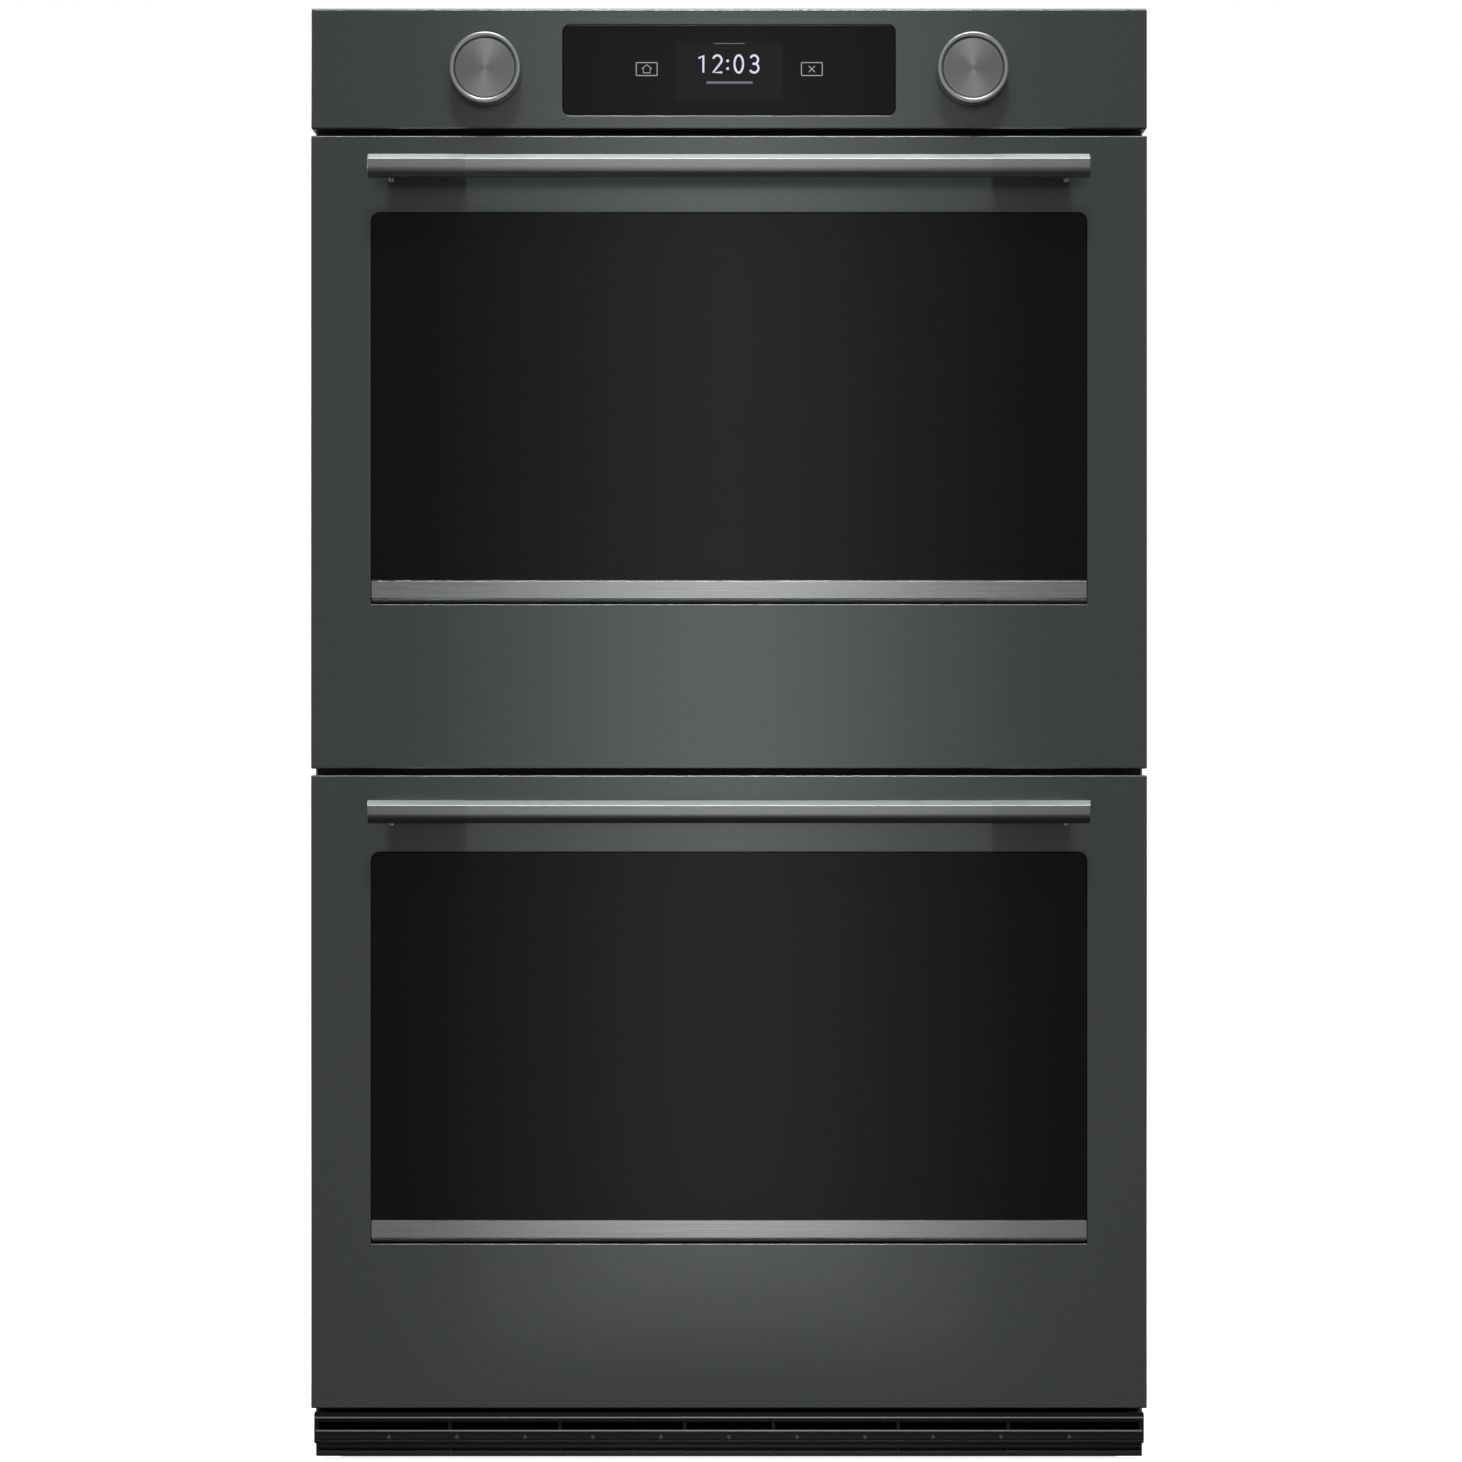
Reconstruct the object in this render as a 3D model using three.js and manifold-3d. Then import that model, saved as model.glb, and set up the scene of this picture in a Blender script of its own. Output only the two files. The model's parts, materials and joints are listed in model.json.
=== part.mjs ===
// A built-in double wall oven, 762 mm (30 inch) wide: two ovens stacked in one chassis, with drop-down
// doors, a control panel with two knobs on top and an air vent below.
// Millimetres, +Z up, the doors face -Y. The origin is the centre of the chassis base, on its underside.

import * as THREE from 'three';
import { mergeVertices } from 'three/addons/utils/BufferGeometryUtils.js';
import Module from 'manifold-3d';

const wasm = await Module();
wasm.setup();

// ---------------------------------------------------------------- driving dimensions

const WIDTH = 762; // doors, control panel and vent
const DEPTH = 590; // chassis behind the cabinet's face
const DOOR_HEIGHT = 577;
const PANEL_HEIGHT = 110;
const VENT_HEIGHT = 50;
const DOOR_GAP = 6; // above each door

const SHEET = 1.2; // chassis, cavity and door sheet
const FIT = 0.3; // space between pieces that touch
const COVER = 22.5; // how far the front covers the cabinet beside the chassis
const HEAD = 10; // how far the panel stands above the chassis

const DOOR_THICKNESS = 40;
const DOOR_STANDOFF = 10; // from the cabinet's face to the door's back
const SKIN_DEPTH = 35; // door skin with its returns
const PIVOT_SETBACK = 14; // hinge axis behind the door's front
const PIVOT_RISE = 24; // hinge axis above the door's bottom edge
const PIN_RADIUS = 4;
const PIN_CLEARANCE = 0.4;
const HINGE_INSET = 81; // hinge arm from the door's side edge
const HINGE_ARM = { thickness: 8, height: 16, reach: 45, clearance: 4 };
const HINGE_EAR = { thickness: 2, half: 10 };

const WINDOW = { side: 54.5, top: 70, bottom: 150, radius: 8 };
const STRIP = { height: 16.3, bevel: 5, depth: 7 };
const GLASS = { thickness: 4, recess: 1, clearance: 0.5 };

const LINER = { side: 11, bottom: 15, top: 5, flange: 12 };
const PLUG = { inset: 11, depth: 14 }; // raised middle of the door's inner side
const INNER_WINDOW = { side: 38, bottom: 62, top: 68, lap: 6 };

const HANDLE = { inset: 55, drop: 32.4, standoff: 60, across: 21 };
const POST = { inset: 51.5, width: 71, height: 15 }; // a wide foot under each end of the bar

const KNOB = { radius: 32.5, rim: 4, recess: 2, length: 27, gap: 3, beside_display: 69.65 };
const KNOB_SHAFT = { radius: 3, body: 26, body_depth: 12, play: 0.4 };
const DISPLAY = { width: 303.5, height: 83, radius: 7, thickness: 3 };
const MODULE = { width: 110, height: 60, depth: 10 };
const BOARD = { width: 260, height: 70, thickness: 1.6, behind: 24 };

const INSULATION = 46.3; // space between the cavity and the side panels
const REAR_SPACE = 68; // space behind the cavity
const CAVITY_DROP = 38; // the door's top edge to the cavity's ceiling
const CAVITY_RISE = 103; // the door's bottom edge to the cavity's floor
const MOUTH_EDGE = 8; // the door's top and bottom edge to the cavity's front flange
const RIB = { first: 58, last: 66, count: 5, depth: 12, height: 12, front: 32, rear: 30 };
const RACK = { side: 6, front: 42, rear: 62, frame: 6, wire: 3, wires: 14, glide_drop: 28 };
const RACK_LEVELS = { low: 1, high: 3 };

const GASKET = { inset: 4, width: 10 };
const BROIL = { radius: 4, drop: 32, side: 100, front: 55, rear: 90, runs: 6 };
const BAKE = { radius: 4, drop: 14, side: 110, front: 70, rear: 70, runs: 4 };
const FAN = { cover: 280, cover_height: 220, cover_depth: 32, radius: 82, blades: 8, depth: 18, shaft: 4 };
const MOTOR = { radius: 38, length: 42, foot: 3 };
const LAMP = { lens: 28, neck: 17, socket: 23, side: 75, drop: 75, proud: 12, length: 38 };
const LATCH = { width: 20, thickness: 4, drop: 17, length: 66, head: 36 };

const VENT = { setback: 24, wall: 1.5, lip: 2.5, slot: 10, top: 6.5, skirt: 15, end: 4 };
const VENT_POSTS = { width: 3, places: [40.7, 155, 255.6] };
const GLAND = { radius: 14, bore: 11, out: 14 };
const JUNCTION = { width: 110, depth: 52, height: 60, wall: 2, x: 220 };
const BLOWER = { radius: 75, height: 56, inlet: 38, wheel: 60, blades: 12, duct: 84, reach: 150, y: 130 };
const FLANGE_SCREWS = { radius: 2.6, rows: 5 };

// ---------------------------------------------------------------- places worked out from them

const FACE_Y = -DEPTH / 2; // the cabinet's face
const FRAME_Y = FACE_Y - SHEET; // front of the mounting flanges
const REAR_Y = DEPTH / 2;
const DOOR_BACK_Y = FACE_Y - DOOR_STANDOFF;
const DOOR_FRONT_Y = DOOR_BACK_Y - DOOR_THICKNESS;
const DECK_END_Y = REAR_Y - SHEET - FIT;

const LOWER_Z = VENT_HEIGHT;
const UPPER_Z = LOWER_Z + DOOR_HEIGHT + DOOR_GAP;
const PANEL_Z = UPPER_Z + DOOR_HEIGHT + DOOR_GAP;
const CHASSIS_TOP = PANEL_Z + PANEL_HEIGHT - HEAD;

const BODY_X = WIDTH / 2 - COVER; // outside of a side panel
const INSIDE_X = BODY_X - SHEET - FIT; // reach of the pieces between the side panels
const MOUTH = { low: MOUTH_EDGE, high: DOOR_HEIGHT - MOUTH_EDGE };

const CAVITY_X = BODY_X - SHEET - INSULATION; // inside of the cavity's side wall
const FLOOR_Z = CAVITY_RISE;
const CEILING_Z = DOOR_HEIGHT - CAVITY_DROP;
const BACK_Y = REAR_Y - REAR_SPACE - SHEET; // inside of the cavity's back wall
const BACK_OUT_Y = BACK_Y + SHEET;
const RIB_PITCH = (CEILING_Z - FLOOR_Z - RIB.first - RIB.last) / (RIB.count - 1);
const FAN_Z = (FLOOR_Z + CEILING_Z) / 2;
const LATCH_Z = DOOR_HEIGHT - LATCH.drop;

const PIVOT_Y = DOOR_FRONT_Y + PIVOT_SETBACK;
const HINGE_X = WIDTH / 2 - HINGE_INSET;
const WINDOW_X = WIDTH / 2 - WINDOW.side;
const STRIP_Z = WINDOW.bottom + STRIP.bevel + STRIP.height; // top of the strip, where the glass starts
const HANDLE_X = WIDTH / 2 - HANDLE.inset;
const HANDLE_Z = DOOR_HEIGHT - HANDLE.drop;
const HANDLE_Y = DOOR_FRONT_Y - HANDLE.standoff + HANDLE.across / 2;
const KNOB_X = DISPLAY.width / 2 + KNOB.beside_display;

const FINISHES = {
  paint: { color: 0x4d5250, roughness: 0.42, metalness: 0.5 },
  handle: { color: 0x7f8483, roughness: 0.3, metalness: 0.9 },
  steel: { color: 0xa9adac, roughness: 0.3, metalness: 1 },
  galvanised: { color: 0x9da2a4, roughness: 0.5, metalness: 0.9 },
  enamel: { color: 0x2b2e33, roughness: 0.25, metalness: 0.1 },
  glass: { color: 0x17181a, roughness: 0.05, metalness: 0 },
  wire: { color: 0xb9bcbd, roughness: 0.25, metalness: 1 },
  element: { color: 0x4a4644, roughness: 0.6, metalness: 0.6 },
  black: { color: 0x141516, roughness: 0.5, metalness: 0.2 },
  board: { color: 0x1f4a34, roughness: 0.5, metalness: 0 },
  seal: { color: 0x3a3b3c, roughness: 0.9, metalness: 0 },
};

// ---------------------------------------------------------------- solids

/** A closed geometry as a solid that can be joined and cut. */
function solidOf(geometry) {
  geometry.deleteAttribute('normal');
  geometry.deleteAttribute('uv');
  const merged = mergeVertices(geometry, 1e-4);
  const corners = merged.index.array;
  const faces = [];
  for (let i = 0; i < corners.length; i += 3) {
    const [a, b, c] = corners.slice(i, i + 3);
    if (a !== b && b !== c && c !== a) faces.push(a, b, c);
  }
  return new wasm.Manifold(
    new wasm.Mesh({
      numProp: 3,
      vertProperties: new Float32Array(merged.attributes.position.array),
      triVerts: new Uint32Array(faces),
    }),
  );
}

/** A solid as a geometry. */
function geometryOf(solid) {
  const { vertProperties, triVerts } = solid.getMesh();
  const geometry = new THREE.BufferGeometry();
  geometry.setAttribute('position', new THREE.BufferAttribute(new Float32Array(vertProperties), 3));
  geometry.setIndex(new THREE.BufferAttribute(new Uint32Array(triVerts), 1));
  geometry.computeVertexNormals();
  return geometry;
}

const join = (...solids) => solids.reduce((a, b) => a.add(b));
const cut = (solid, ...tools) => tools.reduce((a, b) => a.subtract(b), solid);
const span = (middle, size) => [middle - size / 2, middle + size / 2];
const both = (half) => [-half, half];
const reach = ([low, high], by) => [low - by, high + by];

/** A block between a low and a high value on each axis. */
function block(x, y, z) {
  const geometry = new THREE.BoxGeometry(x[1] - x[0], y[1] - y[0], z[1] - z[0]);
  geometry.translate((x[0] + x[1]) / 2, (y[0] + y[1]) / 2, (z[0] + z[1]) / 2);
  return solidOf(geometry);
}

const MATRICES = {
  x: new THREE.Matrix4().makeBasis(
    new THREE.Vector3(0, 1, 0),
    new THREE.Vector3(0, 0, 1),
    new THREE.Vector3(1, 0, 0),
  ),
  y: new THREE.Matrix4().makeBasis(
    new THREE.Vector3(1, 0, 0),
    new THREE.Vector3(0, 0, 1),
    new THREE.Vector3(0, -1, 0),
  ),
  z: new THREE.Matrix4(),
};

/** An outline extruded along an axis. It is drawn in Y-Z for axis x, in X-Z for y and in X-Y for z. */
function extrude(axis, outline, [low, high]) {
  const geometry = new THREE.ExtrudeGeometry(outline, {
    depth: high - low,
    bevelEnabled: false,
    curveSegments: 4,
  });
  geometry.translate(0, 0, axis === 'y' ? -high : low);
  geometry.applyMatrix4(MATRICES[axis]);
  return solidOf(geometry);
}

/** Points of a regular polygon whose corners lie on a circle. */
function ring(radius, sides, [u, v] = [0, 0], start = 0) {
  return Array.from({ length: sides }, (_, i) => {
    const angle = start + (2 * Math.PI * i) / sides;
    return new THREE.Vector2(u + radius * Math.cos(angle), v + radius * Math.sin(angle));
  });
}

/** A round bar along an axis. */
const bar = (axis, radius, centre, ends, sides = 16) =>
  extrude(axis, new THREE.Shape(ring(radius, sides, centre)), ends);

/** A rectangle with round corners. */
function roundedRectangle([u0, u1], [v0, v1], radius) {
  const outline = new THREE.Shape();
  outline.absarc(u1 - radius, v0 + radius, radius, -Math.PI / 2, 0);
  outline.absarc(u1 - radius, v1 - radius, radius, 0, Math.PI / 2);
  outline.absarc(u0 + radius, v1 - radius, radius, Math.PI / 2, Math.PI);
  outline.absarc(u0 + radius, v0 + radius, radius, Math.PI, (3 * Math.PI) / 2);
  return outline;
}

/** A closed profile of [radius, distance] points turned about an axis along Y. */
function turned(profile, sides) {
  const geometry = new THREE.LatheGeometry(
    profile.map(([radius, along]) => new THREE.Vector2(radius, along)),
    sides,
  );
  return solidOf(geometry);
}

/** A route through points, sampled at the points themselves. */
class Route extends THREE.Curve {
  constructor(points) {
    super();
    this.points = points;
  }

  getPointAt(u) {
    return this.points[Math.round(u * (this.points.length - 1))].clone();
  }

  getTangentAt(u) {
    const i = Math.round(u * (this.points.length - 1));
    const before = this.points[Math.max(i - 1, 0)];
    const after = this.points[Math.min(i + 1, this.points.length - 1)];
    return after.clone().sub(before).normalize();
  }
}

/** A round tube of one radius along a route. */
function tube(radius, points, sides = 6) {
  const section = new THREE.Shape(ring(radius, sides));
  const geometry = new THREE.ExtrudeGeometry(section, {
    steps: points.length - 1,
    extrudePath: new Route(points),
    bevelEnabled: false,
  });
  return solidOf(geometry);
}

/** A named sub-part. */
function part(name, finish, solid) {
  const mesh = new THREE.Mesh(geometryOf(solid), new THREE.MeshStandardMaterial(FINISHES[finish]));
  mesh.name = name;
  return mesh;
}

/** Sub-parts in a group at a place. */
function assembly([x, y, z], ...children) {
  const group = new THREE.Group();
  group.position.set(x, y, z);
  group.add(...children);
  return group;
}

// ---------------------------------------------------------------- chassis

/** A side panel with its mounting flange, which screws to the cabinet's face. */
function sidePanel(side) {
  const x = (near, far) => [side * near, side * far].sort((a, b) => a - b);
  const web = block(x(BODY_X - SHEET, BODY_X), [FRAME_Y, REAR_Y], [0, CHASSIS_TOP]);
  const flange = block(x(BODY_X - SHEET, WIDTH / 2 - 1), [FRAME_Y, FACE_Y], [0, CHASSIS_TOP]);
  const screws = Array.from({ length: FLANGE_SCREWS.rows }, (_, i) => {
    const z = (CHASSIS_TOP * (i + 0.5)) / FLANGE_SCREWS.rows;
    return bar('y', FLANGE_SCREWS.radius, [side * (BODY_X + COVER / 2), z], [FRAME_Y - 1, FACE_Y + 1], 8);
  });
  return cut(join(web, flange), ...screws);
}

/** A row of upright slots through a sheet that faces along Y. */
function slots(count, pitch, width, y, z) {
  return Array.from({ length: count }, (_, i) =>
    block(span((i - (count - 1) / 2) * pitch, width), reach(y, 1), z));
}

function rearPanel() {
  const y = [REAR_Y - SHEET, REAR_Y];
  const sheet = block(both(INSIDE_X), y, [0, CHASSIS_TOP]);
  const gland = bar('y', GLAND.radius + FIT, [JUNCTION.x, UPPER_Z + MOUTH_EDGE + JUNCTION.height / 2], reach(y, 1));
  const vents = [LOWER_Z, UPPER_Z].flatMap((z) => slots(9, 40, 8, y, [z + FAN_Z - 60, z + FAN_Z + 60]));
  return cut(sheet, gland, ...vents);
}

/** The top sheet with the apron behind the control panel. */
function topCover() {
  const top = block(both(INSIDE_X), [FRAME_Y, DECK_END_Y], [CHASSIS_TOP - SHEET, CHASSIS_TOP]);
  const apron = block(both(INSIDE_X), [FRAME_Y, FACE_Y], [UPPER_Z + MOUTH.high + FIT, CHASSIS_TOP]);
  const harness = block(both(60), [FRAME_Y - 1, FACE_Y + 1], span(PANEL_Z + PANEL_HEIGHT / 2, 30));
  const exhaust = slots(9, 50, 36, [FRAME_Y, FACE_Y], span(PANEL_Z + 6, 10));
  return cut(join(top, apron), harness, ...exhaust);
}

/** The bottom sheet with the apron behind the vent. */
function basePan() {
  const sheet = block(both(INSIDE_X), [FRAME_Y, DECK_END_Y], [0, SHEET]);
  const apron = block(both(INSIDE_X), [FRAME_Y, FACE_Y], [0, LOWER_Z + MOUTH.low - FIT]);
  const intake = slots(13, 50, 36, [FRAME_Y, FACE_Y], [22, 36]);
  return cut(join(sheet, apron), ...intake);
}

/** The deck between the ovens with its front rail. */
function middleDeck() {
  const z = LOWER_Z + DOOR_HEIGHT + DOOR_GAP / 2;
  const sheet = block(both(INSIDE_X), [FRAME_Y, DECK_END_Y], span(z, SHEET));
  const rail = block(
    both(INSIDE_X),
    [FRAME_Y, FACE_Y],
    [LOWER_Z + MOUTH.high + FIT, UPPER_Z + MOUTH.low - FIT],
  );
  return join(sheet, rail);
}

/** The intake vent under the lower door: a lipped slot between posts, and a set-back skirt. */
function bottomVent() {
  const front = DOOR_FRONT_Y + VENT.setback;
  const back = FRAME_Y - FIT;
  const top = VENT_HEIGHT - VENT.top;
  const shell = cut(
    block(both(WIDTH / 2 - 1), [front, back], [VENT.skirt, top]),
    block(both(WIDTH / 2 - 1 - VENT.wall), [front + VENT.wall, back + 1], [VENT.skirt + VENT.wall, top - VENT.wall]),
  );
  const ends = [...VENT_POSTS.places, WIDTH / 2 - VENT.end + VENT_POSTS.width / 2];
  const edges = [...ends.map((x) => -x).reverse(), ...ends];
  const openings = edges.slice(1).map((x, i) =>
    block(
      [edges[i] + VENT_POSTS.width / 2, x - VENT_POSTS.width / 2],
      [front - 1, front + VENT.wall + 1],
      [top - VENT.lip - VENT.slot, top - VENT.lip],
    ));
  const skirt = block(both(WIDTH / 2 - VENT.end), span(back - 4, 6), [1, VENT.skirt + VENT.wall]);
  return join(cut(shell, ...openings), cut(skirt, block(both(WIDTH), [back, back + 20], [0, VENT_HEIGHT])));
}

/** The terminal box behind the ovens. The supply conduit enters through its gland. */
function junctionBox() {
  const y = [DECK_END_Y - JUNCTION.depth, DECK_END_Y];
  const z = UPPER_Z + MOUTH_EDGE + JUNCTION.height / 2;
  const shell = block(span(JUNCTION.x, JUNCTION.width), y, span(z, JUNCTION.height));
  const room = block(
    span(JUNCTION.x, JUNCTION.width - 2 * JUNCTION.wall),
    reach(y, -JUNCTION.wall),
    span(z, JUNCTION.height - 2 * JUNCTION.wall),
  );
  const gland = bar('y', GLAND.radius, [JUNCTION.x, z], [y[1] - 1, REAR_Y + GLAND.out]);
  const bore = bar('y', GLAND.bore, [JUNCTION.x, z], [y[0] + JUNCTION.wall, REAR_Y + GLAND.out + 1]);
  return cut(join(shell, gland), room, bore);
}

const BLOWER_Z = [UPPER_Z + CEILING_Z + SHEET + 12, UPPER_Z + CEILING_Z + SHEET + 12 + BLOWER.height];

/** The cooling blower's scroll, which blows out behind the control panel's lower edge. */
function blowerHousing() {
  const drum = bar('z', BLOWER.radius, [0, BLOWER.y], BLOWER_Z, 24);
  const duct = block(
    [BLOWER.radius - BLOWER.duct, BLOWER.radius],
    [BLOWER.y - BLOWER.reach, BLOWER.y],
    BLOWER_Z,
  );
  const inside = reach(BLOWER_Z, -SHEET);
  const drumRoom = bar('z', BLOWER.radius - SHEET, [0, BLOWER.y], inside, 24);
  const ductRoom = block(
    [BLOWER.radius - BLOWER.duct + SHEET, BLOWER.radius - SHEET],
    [BLOWER.y - BLOWER.reach - 1, BLOWER.y],
    inside,
  );
  const inlet = bar('z', BLOWER.inlet, [0, BLOWER.y], [BLOWER_Z[1] - SHEET - 1, BLOWER_Z[1] + 1]);
  return cut(join(drum, duct), drumRoom, ductRoom, inlet);
}

/** A ring of straight blades about an axis along Z. */
function blades(count, inner, outer, thickness, z) {
  const blade = () => block([inner, outer], both(thickness / 2), z);
  return Array.from({ length: count }, (_, i) => blade().rotate([0, 0, (360 * i) / count]));
}

function blowerWheel() {
  const low = BLOWER_Z[0] + SHEET + 3;
  const high = BLOWER_Z[1] - SHEET - 4;
  const disc = bar('z', BLOWER.wheel, [0, 0], [low, low + 2], 24);
  const hub = bar('z', 10, [0, 0], [low, high - 15], 12);
  const wheel = join(disc, hub, ...blades(BLOWER.blades, BLOWER.wheel - 18, BLOWER.wheel - 1, 2, [low, high]));
  return wheel.translate([0, BLOWER.y, 0]);
}

// ---------------------------------------------------------------- control panel

const PANEL_MIDDLE = PANEL_HEIGHT / 2 - 1; // the display sits a little low in the panel
const KNOB_Z = PANEL_MIDDLE - 1;

function controlPanel() {
  const y = [DOOR_FRONT_Y, DOOR_BACK_Y];
  const pan = cut(
    block(both(WIDTH / 2), y, [0, PANEL_HEIGHT]),
    block(both(WIDTH / 2 - SHEET), [y[0] + SHEET, y[1] + 1], [SHEET, PANEL_HEIGHT - SHEET]),
  );
  const front = [y[0] - 1, y[0] + SHEET + 1];
  const display = extrude(
    'y',
    roundedRectangle(both(DISPLAY.width / 2), span(PANEL_MIDDLE, DISPLAY.height), DISPLAY.radius),
    front,
  );
  const hole = KNOB_SHAFT.radius + KNOB_SHAFT.play + 1;
  const shafts = [-KNOB_X, KNOB_X].map((x) => bar('y', hole, [x, KNOB_Z], front));
  return cut(pan, display, ...shafts);
}

function displayGlass() {
  return extrude(
    'y',
    roundedRectangle(
      both(DISPLAY.width / 2 - FIT),
      span(PANEL_MIDDLE, DISPLAY.height - 2 * FIT),
      DISPLAY.radius - FIT,
    ),
    [DOOR_FRONT_Y - FIT, DOOR_FRONT_Y - FIT + DISPLAY.thickness],
  );
}

const MODULE_Y = DOOR_FRONT_Y + DISPLAY.thickness;

function displayModule() {
  return block(both(MODULE.width / 2), [MODULE_Y, MODULE_Y + MODULE.depth], span(PANEL_MIDDLE, MODULE.height));
}

/** The control board with a relay, a transformer and a header standing on its back. */
function controlBoard() {
  const y = DOOR_FRONT_Y + BOARD.behind;
  const back = y + BOARD.thickness;
  const card = block(both(BOARD.width / 2), [y, back], span(PANEL_MIDDLE, BOARD.height));
  const relay = block([-90, -60], [back - 0.5, back + 10], span(PANEL_MIDDLE, 24));
  const transformer = block([50, 92], [back - 0.5, back + 12], span(PANEL_MIDDLE, 38));
  const header = block(both(25), [back - 0.5, back + 8], span(PANEL_MIDDLE + 20, 8));
  return join(card, relay, transformer, header);
}

const SHAFT_TIP_Y = DOOR_FRONT_Y - KNOB.gap - KNOB.length + 8;

/** The encoder's plunger: a shaft through the panel with a collar behind it, which presses in. */
function knobShaft() {
  const inside = DOOR_FRONT_Y + SHEET + FIT;
  const shaft = bar('y', KNOB_SHAFT.radius, [0, 0], [SHAFT_TIP_Y, inside + 1], 12);
  const body = block(both(KNOB_SHAFT.body / 2), [inside, inside + KNOB_SHAFT.body_depth], both(KNOB_SHAFT.body / 2));
  return join(shaft, body);
}

/** The knob: a cup with a thin rim, a set-back face and a hub bored for the shaft. */
function knob() {
  const back = DOOR_FRONT_Y - KNOB.gap;
  const front = back - KNOB.length;
  const bore = KNOB_SHAFT.radius + KNOB_SHAFT.play;
  const wall = KNOB.radius - KNOB.rim;
  return turned(
    [
      [0, front + KNOB.recess],
      [0, SHAFT_TIP_Y - FIT],
      [bore, SHAFT_TIP_Y - FIT],
      [bore, back - 2],
      [bore + 5, back - 2],
      [bore + 5, front + KNOB.recess + 5],
      [wall, front + KNOB.recess + 5],
      [wall, back],
      [KNOB.radius, back],
      [KNOB.radius, front],
      [wall, front],
      [wall, front + KNOB.recess],
      [0, front + KNOB.recess],
    ].reverse(),
    24,
  );
}

// ---------------------------------------------------------------- one oven, from its door's bottom edge up

/** Heights of the rack supports' tops. */
const LEVELS = Array.from({ length: RIB.count }, (_, i) => FLOOR_Z + RIB.first + i * RIB_PITCH);

/** A rack support: a rib along a side wall with a sloped underside. */
function rib(side, top) {
  const wall = side * (CAVITY_X + SHEET / 2);
  const edge = side * (CAVITY_X - RIB.depth);
  const outline = new THREE.Shape([
    new THREE.Vector2(wall, top),
    new THREE.Vector2(edge, top),
    new THREE.Vector2(edge, top - RIB.height / 2),
    new THREE.Vector2(wall, top - RIB.height),
  ]);
  return extrude('y', outline, [FRAME_Y + RIB.front, BACK_Y - RIB.rear]);
}

/** The enamelled cavity: a five-sided box with rack supports and the front flange round its mouth. */
function cavity() {
  const outer = block(both(CAVITY_X + SHEET), [FRAME_Y, BACK_OUT_Y], [FLOOR_Z - SHEET, CEILING_Z + SHEET]);
  const flange = block(both(INSIDE_X), [FRAME_Y, FACE_Y], [MOUTH.low, MOUTH.high]);
  const room = block(both(CAVITY_X), [FRAME_Y - 1, BACK_Y], [FLOOR_Z, CEILING_Z]);
  const ribs = LEVELS.flatMap((z) => [rib(-1, z), rib(1, z)]);
  const wall = [BACK_Y - 1, BACK_OUT_Y + 1];
  const shaft = bar('y', FAN.shaft + 3, [0, FAN_Z], wall, 12);
  const lamp = bar('y', LAMP.neck + FIT, [-CAVITY_X + LAMP.side, CEILING_Z - LAMP.drop], wall);
  const tails = both(CAVITY_X - BROIL.side).map((x) =>
    bar('y', BROIL.radius + 1, [x, CEILING_Z - BROIL.drop], wall, 12));
  const front = [FRAME_Y - 1, FACE_Y + 1];
  const latch = block(both(LATCH.width / 2 + 1), front, span(LATCH_Z, LATCH.thickness + 2));
  const hinges = both(HINGE_X).map((x) =>
    block(span(x, HINGE_ARM.thickness + 2), front, span(PIVOT_RISE, HINGE_ARM.height + 2)));
  return cut(join(cut(join(outer, flange), room), ...ribs), shaft, lamp, ...tails, latch, ...hinges);
}

/** The woven seal round the cavity's mouth. */
function gasket() {
  const y = [DOOR_BACK_Y + FIT, FRAME_Y - FIT];
  const x = CAVITY_X + GASKET.inset;
  const z = [FLOOR_Z - GASKET.inset, CEILING_Z + GASKET.inset];
  return cut(
    extrude('y', roundedRectangle(both(x + GASKET.width), reach(z, GASKET.width), GASKET.width + 4), y),
    extrude('y', roundedRectangle(both(x), z, 4), reach(y, 1)),
  );
}

/** A heating tube laid in equal runs from back to front, with both tails leaving towards +Y. */
function heatingTube({ radius, side, front, rear, runs }, z, tailY) {
  const x = CAVITY_X - side;
  const pitch = (2 * x) / (runs - 1);
  const ends = [FRAME_Y + front + pitch / 2, BACK_Y - rear - pitch / 2];
  const points = [new THREE.Vector3(-x, tailY, z)];
  const steps = 6;
  for (let run = 0; run < runs - 1; run += 1) {
    const forward = run % 2 === 0;
    const centre = -x + (run + 0.5) * pitch;
    const y = forward ? ends[0] : ends[1];
    for (let step = 0; step <= steps; step += 1) {
      const angle = (Math.PI * step) / steps;
      const bow = (forward ? -1 : 1) * Math.sin(angle);
      points.push(new THREE.Vector3(centre - (pitch / 2) * Math.cos(angle), y + (pitch / 2) * bow, z));
    }
  }
  points.push(new THREE.Vector3(x, tailY, z));
  return tube(radius, points);
}

const broilElement = () => heatingTube(BROIL, CEILING_Z - BROIL.drop, BACK_OUT_Y + 20);
const bakeElement = () => heatingTube(BAKE, FLOOR_Z - SHEET - BAKE.drop, BACK_OUT_Y + 20);

/** The slotted cover over the convection fan. */
function fanCover() {
  const y = [BACK_Y - FAN.cover_depth, BACK_Y - FIT];
  const z = span(FAN_Z, FAN.cover_height);
  const shell = cut(
    block(both(FAN.cover / 2), y, z),
    block(both(FAN.cover / 2 - SHEET), [y[0] + SHEET, y[1] + 1], reach(z, -SHEET)),
  );
  const front = [y[0] - 1, y[0] + SHEET + 1];
  const grille = [-2, -1, 0, 1, 2].map((i) => block(both(70 - 12 * Math.abs(i)), front, span(FAN_Z + 22 * i, 9)));
  const outlets = [-1, 1].map((side) =>
    block(span((side * FAN.cover) / 2, 10), reach(y, -9), span(FAN_Z, FAN.cover_height - 60)));
  return cut(shell, ...grille, ...outlets);
}

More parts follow.
